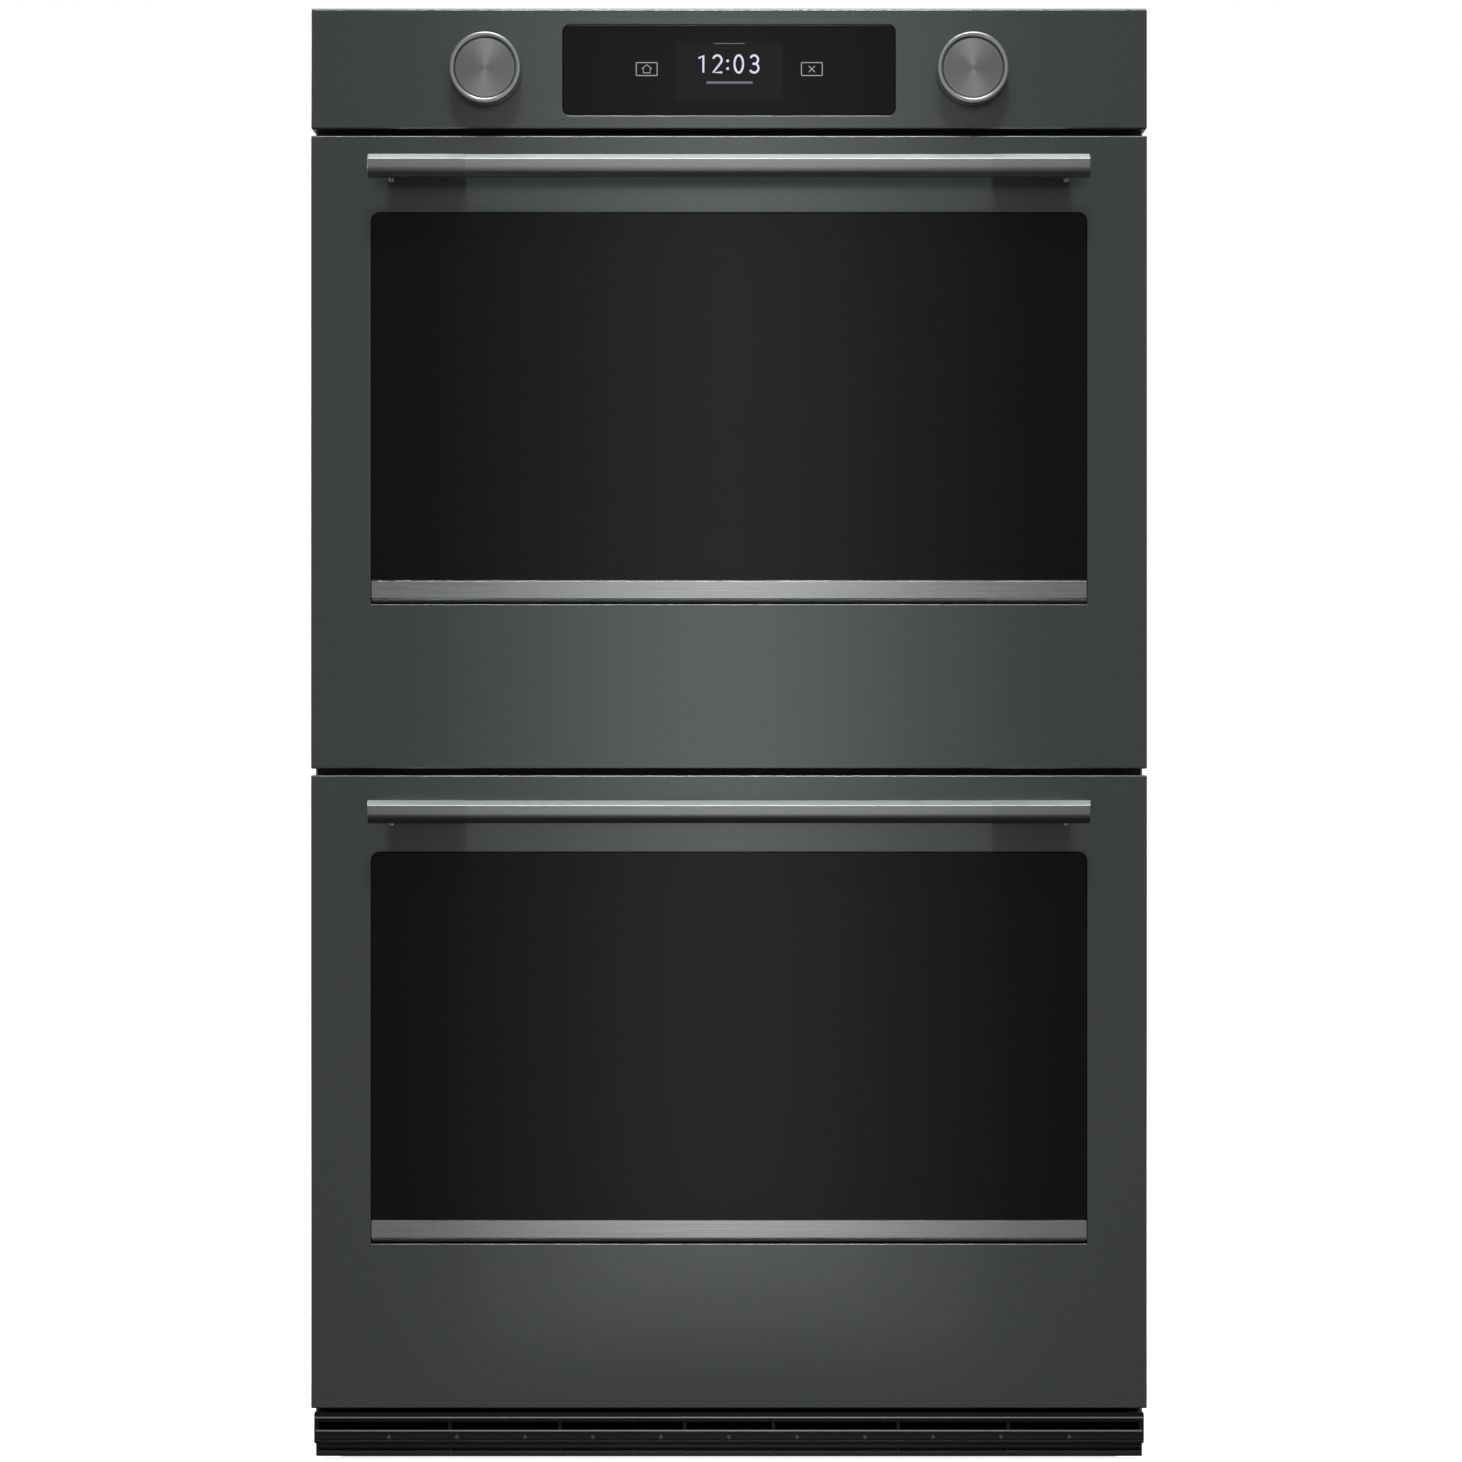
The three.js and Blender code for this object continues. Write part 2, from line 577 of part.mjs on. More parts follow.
/** The convection fan's wheel and its shaft, which passes through the cavity's back wall. */
function fanWheel() {
  const low = -(BACK_Y - 8);
  const disc = bar('z', FAN.radius, [0, 0], [low, low + 1.5], 24);
  const hub = bar('z', 12, [0, 0], [low, low + FAN.depth], 12);
  const shaft = bar('z', FAN.shaft, [0, 0], [low - 8 - SHEET - MOTOR.length + 6, low + 1], 12);
  const vanes = blades(FAN.blades, 10, FAN.radius - 1, 1.5, [low, low + FAN.depth]);
  return join(disc, hub, shaft, ...vanes).rotate([90, 0, 0]).translate([0, 0, FAN_Z]);
}

/** The convection fan's motor on its foot plate, behind the cavity. */
function fanMotor() {
  const y = BACK_OUT_Y + FIT;
  const foot = block(both(MOTOR.radius + 22), [y, y + MOTOR.foot], span(FAN_Z, 40));
  const can = bar('y', MOTOR.radius, [0, FAN_Z], [y + MOTOR.foot - 0.5, y + MOTOR.length]);
  const bore = bar('y', FAN.shaft + 0.6, [0, FAN_Z], [y - 1, y + MOTOR.length - 4], 12);
  return cut(join(foot, can), bore);
}

/** The oven lamp: a lens inside, a neck through the wall and the socket behind. */
function lamp() {
  const centre = [-CAVITY_X + LAMP.side, CEILING_Z - LAMP.drop];
  return join(
    bar('y', LAMP.lens, centre, [BACK_Y - LAMP.proud, BACK_Y - FIT]),
    bar('y', LAMP.neck, centre, [BACK_Y - 1, BACK_OUT_Y + 1]),
    bar('y', LAMP.socket, centre, [BACK_OUT_Y + FIT, BACK_OUT_Y + LAMP.length]),
  );
}

/** The door lock's bolt, which slides out through the flange into the door. */
function latch() {
  const tip = FRAME_Y - 1;
  return join(
    block(both(LATCH.width / 2), [tip, tip + LATCH.length], span(LATCH_Z, LATCH.thickness)),
    block(both(LATCH.head / 2), [tip + LATCH.length - 20, tip + LATCH.length], span(LATCH_Z, LATCH.thickness + 6)),
  );
}

/** A wire rack as a flat grille: a frame, cross wires from front to back and one stay. */
function rackGrille(top) {
  const x = CAVITY_X - RACK.side;
  const y = [FRAME_Y + RACK.front, BACK_Y - RACK.rear];
  const z = [top + FIT, top + FIT + RACK.frame];
  const wireZ = span(top + FIT + RACK.frame / 2, RACK.wire);
  const stayZ = span(wireZ[0], RACK.wire / 2);
  const stay = block(both(x - RACK.frame / 2), span((y[0] + y[1]) / 2, RACK.wire), stayZ);
  const pitch = (2 * x - RACK.frame) / (RACK.wires + 1);
  const wires = Array.from({ length: RACK.wires }, (_, i) =>
    block(span(-x + RACK.frame / 2 + (i + 1) * pitch, RACK.wire), reach(y, -RACK.frame / 2), wireZ));
  const frame = cut(block(both(x), y, z), block(both(x - RACK.frame), reach(y, -RACK.frame), reach(z, 1)));
  return join(frame, stay, ...wires);
}

const highRack = () => rackGrille(LEVELS[RACK_LEVELS.high]);

/** The lower rack, with the pull bar that hangs below its front edge. */
function lowRack() {
  const top = LEVELS[RACK_LEVELS.low];
  const x = CAVITY_X - RIB.depth - RACK.side - RACK.frame;
  const y = [FRAME_Y + RACK.front, FRAME_Y + RACK.front + RACK.frame];
  const barZ = [top - RACK.glide_drop, top - RACK.glide_drop + RACK.frame];
  const pull = block(both(x), y, barZ);
  const drops = both(x - RACK.frame / 2).map((at) => block(span(at, RACK.frame), y, [barZ[0], top + FIT + 1]));
  return join(rackGrille(top), pull, ...drops);
}

/** A fixed hinge arm with the pin that the door turns on. */
function hingeArm(side) {
  const half = HINGE_ARM.height / 2;
  const x = side * HINGE_X;
  const plate = block(
    span(x, HINGE_ARM.thickness),
    [PIVOT_Y, FACE_Y + HINGE_ARM.reach],
    span(PIVOT_RISE, HINGE_ARM.height),
  );
  const nose = bar('x', half, [PIVOT_Y, PIVOT_RISE], span(x, HINGE_ARM.thickness));
  const outside = HINGE_ARM.thickness + 2 * (HINGE_EAR.thickness + 2);
  return join(plate, nose, bar('x', PIN_RADIUS, [PIVOT_Y, PIVOT_RISE], span(x, outside)));
}

/** The space that a hinge arm needs as the door turns, from straight back to straight down. */
function hingeNotch(side, y, z) {
  return block(span(side * HINGE_X, HINGE_ARM.thickness + 2 * HINGE_ARM.clearance), y, z);
}

/** The door's painted skin: a shallow pan with the window cut out. */
function doorSkin() {
  const y = [DOOR_FRONT_Y, DOOR_FRONT_Y + SKIN_DEPTH];
  const pan = cut(
    block(both(WIDTH / 2), y, [0, DOOR_HEIGHT]),
    block(both(WIDTH / 2 - SHEET), [y[0] + SHEET, y[1] + 1], [SHEET, DOOR_HEIGHT - SHEET]),
  );
  const opening = extrude('y', windowOutline(0, WINDOW.bottom), [y[0] - 1, y[0] + SHEET + 1]);
  const half = HINGE_ARM.height / 2;
  const notches = [-1, 1].map((side) => hingeNotch(side, [PIVOT_Y - half - 1, y[1] + 1], [-1, SHEET + 1]));
  return cut(pan, opening, ...notches);
}

/** The window's outline, round at its top corners, brought in by an inset and starting at a height. */
function windowOutline(inset, low) {
  const x = WINDOW_X - inset;
  const high = DOOR_HEIGHT - WINDOW.top - inset;
  const radius = WINDOW.radius - inset;
  const outline = new THREE.Shape();
  outline.moveTo(-x, low);
  outline.lineTo(x, low);
  outline.absarc(x - radius, high - radius, radius, 0, Math.PI / 2);
  outline.absarc(-x + radius, high - radius, radius, Math.PI / 2, Math.PI);
  return outline;
}

/** The outer pane, set in the skin's window above the strip. */
function outerGlass() {
  const y = DOOR_FRONT_Y + GLASS.recess;
  return extrude('y', windowOutline(GLASS.clearance, STRIP_Z + FIT), [y, y + GLASS.thickness]);
}

/** The bright strip under the pane, bevelled back along its lower edge. */
function trimStrip() {
  const front = DOOR_FRONT_Y - FIT;
  const back = DOOR_FRONT_Y + STRIP.depth;
  const low = WINDOW.bottom + FIT;
  const outline = new THREE.Shape([
    new THREE.Vector2(front, low + STRIP.bevel),
    new THREE.Vector2(front + STRIP.bevel, low),
    new THREE.Vector2(back, low),
    new THREE.Vector2(back, STRIP_Z),
    new THREE.Vector2(front, STRIP_Z),
  ]);
  return extrude('x', outline, both(WINDOW_X - GLASS.clearance));
}

/** The enamelled inner side of the door: a pan with a raised middle, its window and the hinge ears. */
function doorLiner() {
  const x = WIDTH / 2 - LINER.side;
  const z = [LINER.bottom, DOOR_HEIGHT - LINER.top];
  const y = [DOOR_BACK_Y - LINER.flange, DOOR_BACK_Y];
  const inside = DOOR_BACK_Y - SHEET;
  const pan = cut(
    block(both(x), y, z),
    block(both(x - SHEET), [y[0] - 1, inside], reach(z, -SHEET)),
  );
  const plugX = CAVITY_X - PLUG.inset;
  const plugZ = [FLOOR_Z + PLUG.inset, CEILING_Z - PLUG.inset];
  const plugBack = DOOR_BACK_Y + PLUG.depth;
  const plug = block(both(plugX), [inside, plugBack], plugZ);
  const plugRoom = block(both(plugX - SHEET), [inside - 1, plugBack - SHEET], reach(plugZ, -SHEET));
  const window = extrude('y', innerWindow(0), [plugBack - SHEET - 1, plugBack + 1]);
  const slot = block(both(LATCH.width / 2 + 2), [y[0] - 1, y[1] + 1], span(LATCH_Z, LATCH.thickness + 4));
  const half = HINGE_ARM.height / 2 + 1;
  const notches = [-1, 1].map((side) => hingeNotch(side, [y[0] - 1, y[1] + 1], [0, PIVOT_RISE + half]));
  const ears = [-1, 1].flatMap((side) => [-1, 1].map((face) => hingeEar(side, face)));
  return join(cut(join(pan, plug), plugRoom, window, slot, ...notches), ...ears);
}

/** A hinge ear on the liner, bored for the pin. It stands beside the notch and joins the liner behind. */
function hingeEar(side, face) {
  const inner = HINGE_ARM.thickness / 2 + 1;
  const near = side * HINGE_X + face * inner;
  const far = side * HINGE_X + face * (inner + HINGE_EAR.thickness);
  const x = [Math.min(near, far), Math.max(near, far)];
  const ear = block(x, [PIVOT_Y - HINGE_EAR.half, DOOR_BACK_Y - SHEET / 2], span(PIVOT_RISE, 2 * HINGE_EAR.half));
  const foot = [side * HINGE_X + face * inner, side * HINGE_X + face * (inner + 10)].sort((a, b) => a - b);
  const web = block(foot, [DOOR_BACK_Y - SHEET - 2, DOOR_BACK_Y - SHEET / 2], span(PIVOT_RISE, 2 * HINGE_EAR.half));
  const bore = bar('x', PIN_RADIUS + PIN_CLEARANCE, [PIVOT_Y, PIVOT_RISE], reach(x, 1));
  return cut(join(ear, web), bore);
}

/** The outline of the liner's window, or of the pane behind it when it laps the edge. */
function innerWindow(lap) {
  const x = CAVITY_X - PLUG.inset - INNER_WINDOW.side + lap;
  const low = FLOOR_Z + PLUG.inset + INNER_WINDOW.bottom - lap;
  const high = CEILING_Z - PLUG.inset - INNER_WINDOW.top + lap;
  return roundedRectangle(both(x), [low, high], 12);
}

function innerGlass() {
  const back = DOOR_BACK_Y + PLUG.depth - SHEET - FIT;
  return extrude('y', innerWindow(INNER_WINDOW.lap), [back - GLASS.thickness, back]);
}

/** The eight-sided handle bar. */
function handleBar() {
  const corner = HANDLE.across / 2 / Math.cos(Math.PI / 8);
  const section = new THREE.Shape(ring(corner, 8, [HANDLE_Y, HANDLE_Z], Math.PI / 8));
  return extrude('x', section, both(HANDLE_X));
}

/** A post that holds the handle bar off the door. */
function handlePost(side) {
  const x = span(side * (HANDLE_X - POST.inset), POST.width);
  return block(x, [HANDLE_Y + HANDLE.across / 2 + FIT, DOOR_FRONT_Y - FIT], span(HANDLE_Z, POST.height));
}

/** One oven with its door. */
function oven(name, z) {
  return assembly(
    [0, 0, z],
    part(`${name}_cavity`, 'enamel', cavity()),
    part(`${name}_gasket`, 'seal', gasket()),
    part(`${name}_broil_element`, 'element', broilElement()),
    part(`${name}_bake_element`, 'element', bakeElement()),
    part(`${name}_fan_cover`, 'enamel', fanCover()),
    part(`${name}_fan_wheel`, 'steel', fanWheel()),
    part(`${name}_fan_motor`, 'galvanised', fanMotor()),
    part(`${name}_lamp`, 'glass', lamp()),
    part(`${name}_latch`, 'steel', latch()),
    part(`${name}_high_rack`, 'wire', highRack()),
    part(`${name}_low_rack`, 'wire', lowRack()),
    part(`${name}_left_hinge_arm`, 'steel', hingeArm(-1)),
    part(`${name}_right_hinge_arm`, 'steel', hingeArm(1)),
    part(`${name}_door_skin`, 'paint', doorSkin()),
    part(`${name}_outer_glass`, 'glass', outerGlass()),
    part(`${name}_inner_glass`, 'glass', innerGlass()),
    part(`${name}_door_liner`, 'enamel', doorLiner()),
    part(`${name}_handle_bar`, 'handle', handleBar()),
    part(`${name}_left_handle_post`, 'handle', handlePost(-1)),
    part(`${name}_right_handle_post`, 'handle', handlePost(1)),
    part(`${name}_trim_strip`, 'steel', trimStrip()),
  );
}

// ---------------------------------------------------------------- the whole object

const wallOven = new THREE.Group();
wallOven.add(
  part('left_side_panel', 'galvanised', sidePanel(-1)),
  part('right_side_panel', 'galvanised', sidePanel(1)),
  part('rear_panel', 'galvanised', rearPanel()),
  part('top_cover', 'galvanised', topCover()),
  part('base_pan', 'galvanised', basePan()),
  part('middle_deck', 'galvanised', middleDeck()),
  part('bottom_vent', 'black', bottomVent()),
  part('junction_box', 'galvanised', junctionBox()),
  part('blower_housing', 'galvanised', blowerHousing()),
  part('blower_wheel', 'black', blowerWheel()),
  assembly(
    [0, 0, PANEL_Z],
    part('control_panel', 'paint', controlPanel()),
    part('display_glass', 'glass', displayGlass()),
    part('display_module', 'black', displayModule()),
    part('control_board', 'board', controlBoard()),
  ),
  assembly(
    [-KNOB_X, 0, PANEL_Z + KNOB_Z],
    part('left_knob_shaft', 'steel', knobShaft()),
    part('left_knob', 'handle', knob()),
  ),
  assembly(
    [KNOB_X, 0, PANEL_Z + KNOB_Z],
    part('right_knob_shaft', 'steel', knobShaft()),
    part('right_knob', 'handle', knob()),
  ),
  oven('lower', LOWER_Z),
  oven('upper', UPPER_Z),
);

export default wallOven;
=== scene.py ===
# %% [markdown]
# # A double wall oven
# The real object is two ovens stacked in one steel chassis. Its front is folded steel sheet with a dark
# grey-green finish; the doors carry dark glass, a bright strip and an eight-sided bar handle. The packed
# model already holds every size, so this lesson reads each place from it and makes the fine surfaces:
# rolled edges, brushed and enamelled metal, round wires, glass and a lit display.

# %% Load the frame
import json
import math

import bmesh
import bpy
from mathutils import Matrix, Vector


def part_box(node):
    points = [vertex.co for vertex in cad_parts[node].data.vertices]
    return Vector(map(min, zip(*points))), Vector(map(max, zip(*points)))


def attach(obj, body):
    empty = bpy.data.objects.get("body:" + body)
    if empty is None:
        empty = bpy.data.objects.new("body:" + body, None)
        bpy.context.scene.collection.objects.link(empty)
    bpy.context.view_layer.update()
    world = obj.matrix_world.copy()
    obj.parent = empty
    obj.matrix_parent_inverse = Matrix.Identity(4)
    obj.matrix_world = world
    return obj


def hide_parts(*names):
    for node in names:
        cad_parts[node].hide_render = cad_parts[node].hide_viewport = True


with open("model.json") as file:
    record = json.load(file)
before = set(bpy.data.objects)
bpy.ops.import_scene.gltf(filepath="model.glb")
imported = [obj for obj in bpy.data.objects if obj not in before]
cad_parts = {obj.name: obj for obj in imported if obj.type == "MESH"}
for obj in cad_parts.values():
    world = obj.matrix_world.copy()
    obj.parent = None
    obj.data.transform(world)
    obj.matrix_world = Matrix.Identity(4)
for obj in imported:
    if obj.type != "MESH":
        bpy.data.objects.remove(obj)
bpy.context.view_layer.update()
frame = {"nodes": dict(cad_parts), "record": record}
MM = 0.001
OVENS = ("lower", "upper")
SIDES = ("left", "right")

# %% [markdown]
# ## Camera
# A product shot is taken from far away with a long lens, so that upright edges stay upright. The camera
# stands 5.1 m in front of the doors at the middle of the front's height, a long lens fills the frame, and
# there is no shift or blur.

# %% Place the camera
SENSOR = 36.0
CAMERA_DISTANCE = 5.1
FRAME_WIDTH = 1.3326
CAMERA_HEIGHT = 0.6674
CAMERA_ASIDE = 0.0018
door_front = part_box("upper_door_skin")[0].y
camera_data = bpy.data.cameras.new("camera")
camera_data.sensor_width = SENSOR
camera_data.lens = SENSOR * CAMERA_DISTANCE / FRAME_WIDTH
camera_data.clip_end = 100.0
camera = bpy.data.objects.new("camera", camera_data)
bpy.context.scene.collection.objects.link(camera)
camera.location = (CAMERA_ASIDE, door_front - CAMERA_DISTANCE, CAMERA_HEIGHT)
camera.rotation_euler = (math.radians(90), 0, 0)
bpy.context.scene.camera = camera
print("lens", round(camera_data.lens, 1), "mm")

# %% [markdown]
# ## Shaping helpers
# Every piece starts from an operator's shape and is finished by others: a plate is a grid with its corners
# bevelled round, a sheet is a fill between loops, a turned piece is a profile spun about an axis, a wire is
# a row of circles bridged along a route. Each helper leaves the place in the mesh, so that the finished
# object sits at the origin.


# %% Make a mesh into a piece
def piece(name, mesh, finish, body, replaces=(), smooth_angle=40):
    """A finished bmesh as an object that rides on a body and shows a finish."""
    data = bpy.data.meshes.new(name)
    mesh.to_mesh(data)
    mesh.free()
    data.materials.append(FINISH[finish])
    data.shade_smooth()
    data.set_sharp_from_angle(angle=math.radians(smooth_angle))
    made = bpy.data.objects.new(name, data)
    bpy.context.scene.collection.objects.link(made)
    level = made.modifiers.new("level_faces", "WEIGHTED_NORMAL")
    level.keep_sharp = True
    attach(made, body)
    if replaces:
        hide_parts(*replaces)
    return made


def clean(mesh):
    """Doubles merged and faces turned outwards."""
    bmesh.ops.remove_doubles(mesh, verts=mesh.verts, dist=1e-6)
    bmesh.ops.recalc_face_normals(mesh, faces=mesh.faces)
    return mesh


def soften(mesh, edges, radius, segments=3):
    """Rolls the given edges to a radius."""
    bmesh.ops.bevel(mesh, geom=list(edges), offset=radius, offset_type="OFFSET", affect="EDGES",
                    segments=segments, profile=0.5, material=-1, clamp_overlap=True)


def at(mesh, axis, value):
    """The edges that lie at a value on an axis."""
    return [e for e in mesh.edges if all(abs(v.co[axis] - value) < 1e-7 for v in e.verts)]


def shift(mesh, made, vec):
    """Moves the points among what an operator has made."""
    bmesh.ops.translate(mesh, verts=[g for g in made if isinstance(g, bmesh.types.BMVert)], vec=vec)


def look(mesh, way, face=None):
    """Turns an open skin over if its largest face, or the given one, looks the other way."""
    face = face or max(mesh.faces, key=lambda f: f.calc_area())
    if face.normal.dot(Vector(way)) < 0:
        bmesh.ops.reverse_faces(mesh, faces=mesh.faces)


def mirrored(side, near, far):
    """Two distances from the middle as a low and high place on the left (-1) or right (1)."""
    return sorted((side * near, side * far))


# %% Boxes and round bars
FORWARD = (0, -1, 0)
BACKWARD = (0, 1, 0)


def add_box(mesh, low, high, radius=0.0, segments=2):
    """A box between two corners, with its edges rolled to a radius."""
    low, high = Vector(low), Vector(high)
    place = Matrix.Translation((low + high) / 2) @ Matrix.Diagonal((high - low).to_4d())
    made = bmesh.ops.create_cube(mesh, size=1.0, matrix=place)["verts"]
    if radius:
        soften(mesh, {e for v in made for e in v.link_edges}, radius, segments)


def facing(axis):
    """A turn that takes +Z to an axis."""
    return Vector(axis).to_track_quat("Z", "Y").to_matrix().to_4x4()


def add_bar(mesh, base, axis, radius, length, sides=24, chamfer=0.0, tip=None):
    """A round bar from its base along an axis, with a chamfered far end."""
    base, axis = Vector(base), Vector(axis)
    place = Matrix.Translation(base + axis * length / 2) @ facing(axis)
    made = bmesh.ops.create_cone(mesh, cap_ends=True, segments=sides, radius1=radius,
                                 radius2=radius if tip is None else tip, depth=length, matrix=place)["verts"]
    if chamfer:
        end = base + axis * length
        rim = {e for v in made for e in v.link_edges
               if all(abs((w.co - end).dot(axis)) < 1e-6 for w in e.verts)}
        soften(mesh, rim, chamfer, 2)


def add_screw(mesh, place, axis, radius=4.0 * MM):
    """A hexagon-headed sheet screw with its washer."""
    add_bar(mesh, place, axis, radius * 1.35, 0.9 * MM, 16)
    add_bar(mesh, Vector(place) + Vector(axis) * 0.9 * MM, axis, radius, 3.2 * MM, 6, 0.6 * MM)


# %% Plates and sheets
UPRIGHT = Matrix.Rotation(math.radians(90), 4, "X")  # takes +Z to -Y


def add_plate(mesh, x, z, y, radii, segments=6):
    """A flat face that looks along -Y, with round corners: one radius for the low pair, one for the high."""
    place = Matrix.Translation(((x[0] + x[1]) / 2, y, (z[0] + z[1]) / 2)) @ UPRIGHT
    place = place @ Matrix.Diagonal((x[1] - x[0], z[1] - z[0], 1, 1))
    corners = bmesh.ops.create_grid(mesh, x_segments=1, y_segments=1, size=0.5, matrix=place)["verts"]
    face = corners[0].link_faces[0]
    middle = (z[0] + z[1]) / 2
    rows = ([v for v in corners if v.co.z < middle], [v for v in corners if v.co.z > middle])
    for radius, row in zip(radii, rows):
        bmesh.ops.bevel(mesh, geom=row, offset=radius, offset_type="OFFSET", affect="VERTICES",
                        segments=segments, profile=0.5, material=-1)
    mesh.faces.ensure_lookup_table()
    return mesh.faces[-1] if not face.is_valid else face


def add_outline(mesh, x, z, y, radii, segments=6):
    """The edges of a plate, without its face."""
    face = add_plate(mesh, x, z, y, radii, segments)
    edges = list(face.edges)
    bmesh.ops.delete(mesh, geom=[face], context="FACES_ONLY")
    return edges


def pull(mesh, edges, vec):
    """A rim drawn from open edges along a vector. Gives the new outer edges."""
    made = bmesh.ops.extrude_edge_only(mesh, edges=edges)["geom"]
    shift(mesh, made, vec)
    return [e for e in made if isinstance(e, bmesh.types.BMEdge) and len(e.link_faces) == 1]


def thick_plate(x, z, y, depth, radii, edge, segments=6):
    """A plate with a thickness and softly ground front edges."""
    mesh = bmesh.new()
    face = add_plate(mesh, x, z, y, radii, segments)
    made = bmesh.ops.extrude_face_region(mesh, geom=[face], use_keep_orig=True)["geom"]
    shift(mesh, made, (0, depth, 0))
    bmesh.ops.recalc_face_normals(mesh, faces=mesh.faces)
    soften(mesh, at(mesh, 1, y), edge, 3)
    return clean(mesh)


PRESS_STEPS = ((1.6, 0.12), (1.4, 0.38), (1.4, 0.38), (1.6, 0.12))


def sheet(x, z, y, corner=2 * MM, holes=(), beads=(), rise=3 * MM, roomy=1.0):
    """A flat sheet that looks along -Y, with holes, and with beads pressed out towards -Y."""
    mesh = bmesh.new()
    edges = add_outline(mesh, x, z, y, (corner, corner))
    for hole_x, hole_z, radius in holes:
        edges += add_outline(mesh, hole_x, hole_z, y, (radius, radius), 4)
    outlines = [add_outline(mesh, bead_x, bead_z, y, (radius, radius), 5)
                for bead_x, bead_z, radius in beads]
    bmesh.ops.triangle_fill(mesh, use_beauty=True, edges=edges + [e for line in outlines for e in line])
    for line in outlines:
        face = bmesh.ops.contextual_create(mesh, geom=line)["faces"][0]
        face.normal_update()
        if face.normal.y > 0:
            face.normal_flip()
        for inward, share in PRESS_STEPS:
            bmesh.ops.inset_region(mesh, faces=[face], thickness=inward * roomy * MM, depth=share * rise)
    clean(mesh)
    look(mesh, FORWARD)
    return mesh


def thicken(mesh, wall):
    """Gives an open skin its wall, on the side away from its faces."""
    bmesh.ops.solidify(mesh, geom=mesh.faces[:], thickness=wall)
    return mesh


def turn(mesh, matrix):
    """Moves everything made so far by a matrix."""
    bmesh.ops.transform(mesh, matrix=matrix, verts=mesh.verts)
    return mesh


# %% Cuts in a folded sheet
def cut_away(mesh, low, high):
    """Splits the sheet along a box's sides and takes away the faces inside it."""
    low, high = Vector(low), Vector(high)
    for axis in range(3):
        for value in (low[axis], high[axis]):
            near = [f for f in mesh.faces if all(
                min(v.co[k] for v in f.verts) <= high[k] and max(v.co[k] for v in f.verts) >= low[k]
                for k in range(3))]
            geom = set(near)
            for face in near:
                geom.update(face.edges)
                geom.update(face.verts)
            normal = [1.0 if k == axis else 0.0 for k in range(3)]
            place = [value if k == axis else 0.0 for k in range(3)]
            bmesh.ops.bisect_plane(mesh, geom=list(geom), plane_co=place, plane_no=normal, dist=1e-7)
    inside = [f for f in mesh.faces
              if all(low[k] <= f.calc_center_median()[k] <= high[k] for k in range(3))]
    bmesh.ops.delete(mesh, geom=inside, context="FACES")


# %% Turned pieces and wires
def turned(profile, centre, steps=96):
    """A profile of (radius, distance along Y) points, in millimetres, spun about an axis along Y."""
    mesh = bmesh.new()
    centre = Vector(centre)
    points = [mesh.verts.new(centre + Vector((0, along, radius)) * MM) for radius, along in profile]
    edges = [mesh.edges.new(pair) for pair in zip(points, points[1:])]
    bmesh.ops.spin(mesh, geom=points + edges, cent=centre, axis=(0, 1, 0), angle=math.tau,
                   steps=steps, use_merge=True)
    return clean(mesh)


def add_wire(mesh, points, radius, sides=10, closed=False):
    """A round wire along a route, made of circles turned to face along it and bridged."""
    points = [Vector(p) for p in points]
    count = len(points)
    rings = []
    for i, point in enumerate(points):
        before = points[i - 1] if i or closed else point
        after = points[(i + 1) % count] if i < count - 1 or closed else point
        along = (after - before).normalized()
        place = Matrix.Translation(point) @ facing(along)
        made = bmesh.ops.create_circle(mesh, cap_ends=False, segments=sides, radius=radius, matrix=place)
        rings.append(list({e for v in made["verts"] for e in v.link_edges}))
    for near, far in zip(rings, rings[1:] + ([rings[0]] if closed else [])):
        bmesh.ops.bridge_loops(mesh, edges=near + far)
    if not closed:
        for ring in (rings[0], rings[-1]):
            bmesh.ops.contextual_create(mesh, geom=ring)


def arc(centre, radius, start, end, axes, steps=6):
    """Points on an arc. axes are the directions in which angles of 0 and 90 degrees point."""
    first, second = (Vector(a) for a in axes)
    turns = [math.radians(start + (end - start) * i / steps) for i in range(steps + 1)]
    return [Vector(centre) + radius * (math.cos(a) * first + math.sin(a) * second) for a in turns]


def round_rectangle(x, z, y, radius, axes=((1, 0, 0), (0, 0, 1)), steps=6):
    """A closed route round a rectangle with round corners, drawn on two axes."""
    first, second = (Vector(a) for a in axes)
    inner_x, inner_z = (x[0] + radius, x[1] - radius), (z[0] + radius, z[1] - radius)
    corners = ((inner_x[1], inner_z[0], -90), (inner_x[1], inner_z[1], 0),
               (inner_x[0], inner_z[1], 90), (inner_x[0], inner_z[0], 180))
    level = first.cross(second) * -y
    return [p for cx, cz, start in corners
            for p in arc(level + first * cx + second * cz, radius, start, start + 90, axes, steps)]


print("helpers ready")

# %% [markdown]
# ## Finishes
# Each finish is a Principled shader with a little life: a slow change of tone, a fine grain in the
# roughness and a shallow bump. All patterns read Object coordinates in metres, so grain has its real size.
# Brushed metal is the same noise stretched a hundred times along the brushing direction. An image could give
# the grain too, but noise has no seams and stays sharp at any distance.


# %% Build a finish from noise
FINISH = {}


def new_finish(name, color, roughness, metallic=0.0):
    """A new finish under its name. Gives its nodes, its links, its shader and its coordinates."""
    material = bpy.data.materials.new(name)
    material.use_nodes = True
    nodes, links = material.node_tree.nodes, material.node_tree.links
    shader = nodes["Principled BSDF"]
    shader.inputs["Base Color"].default_value = (*color, 1)
    shader.inputs["Roughness"].default_value = roughness
    shader.inputs["Metallic"].default_value = metallic
    place = nodes.new("ShaderNodeTexCoord").outputs["Object"]
    FINISH[name] = material
    return nodes, links, shader, place


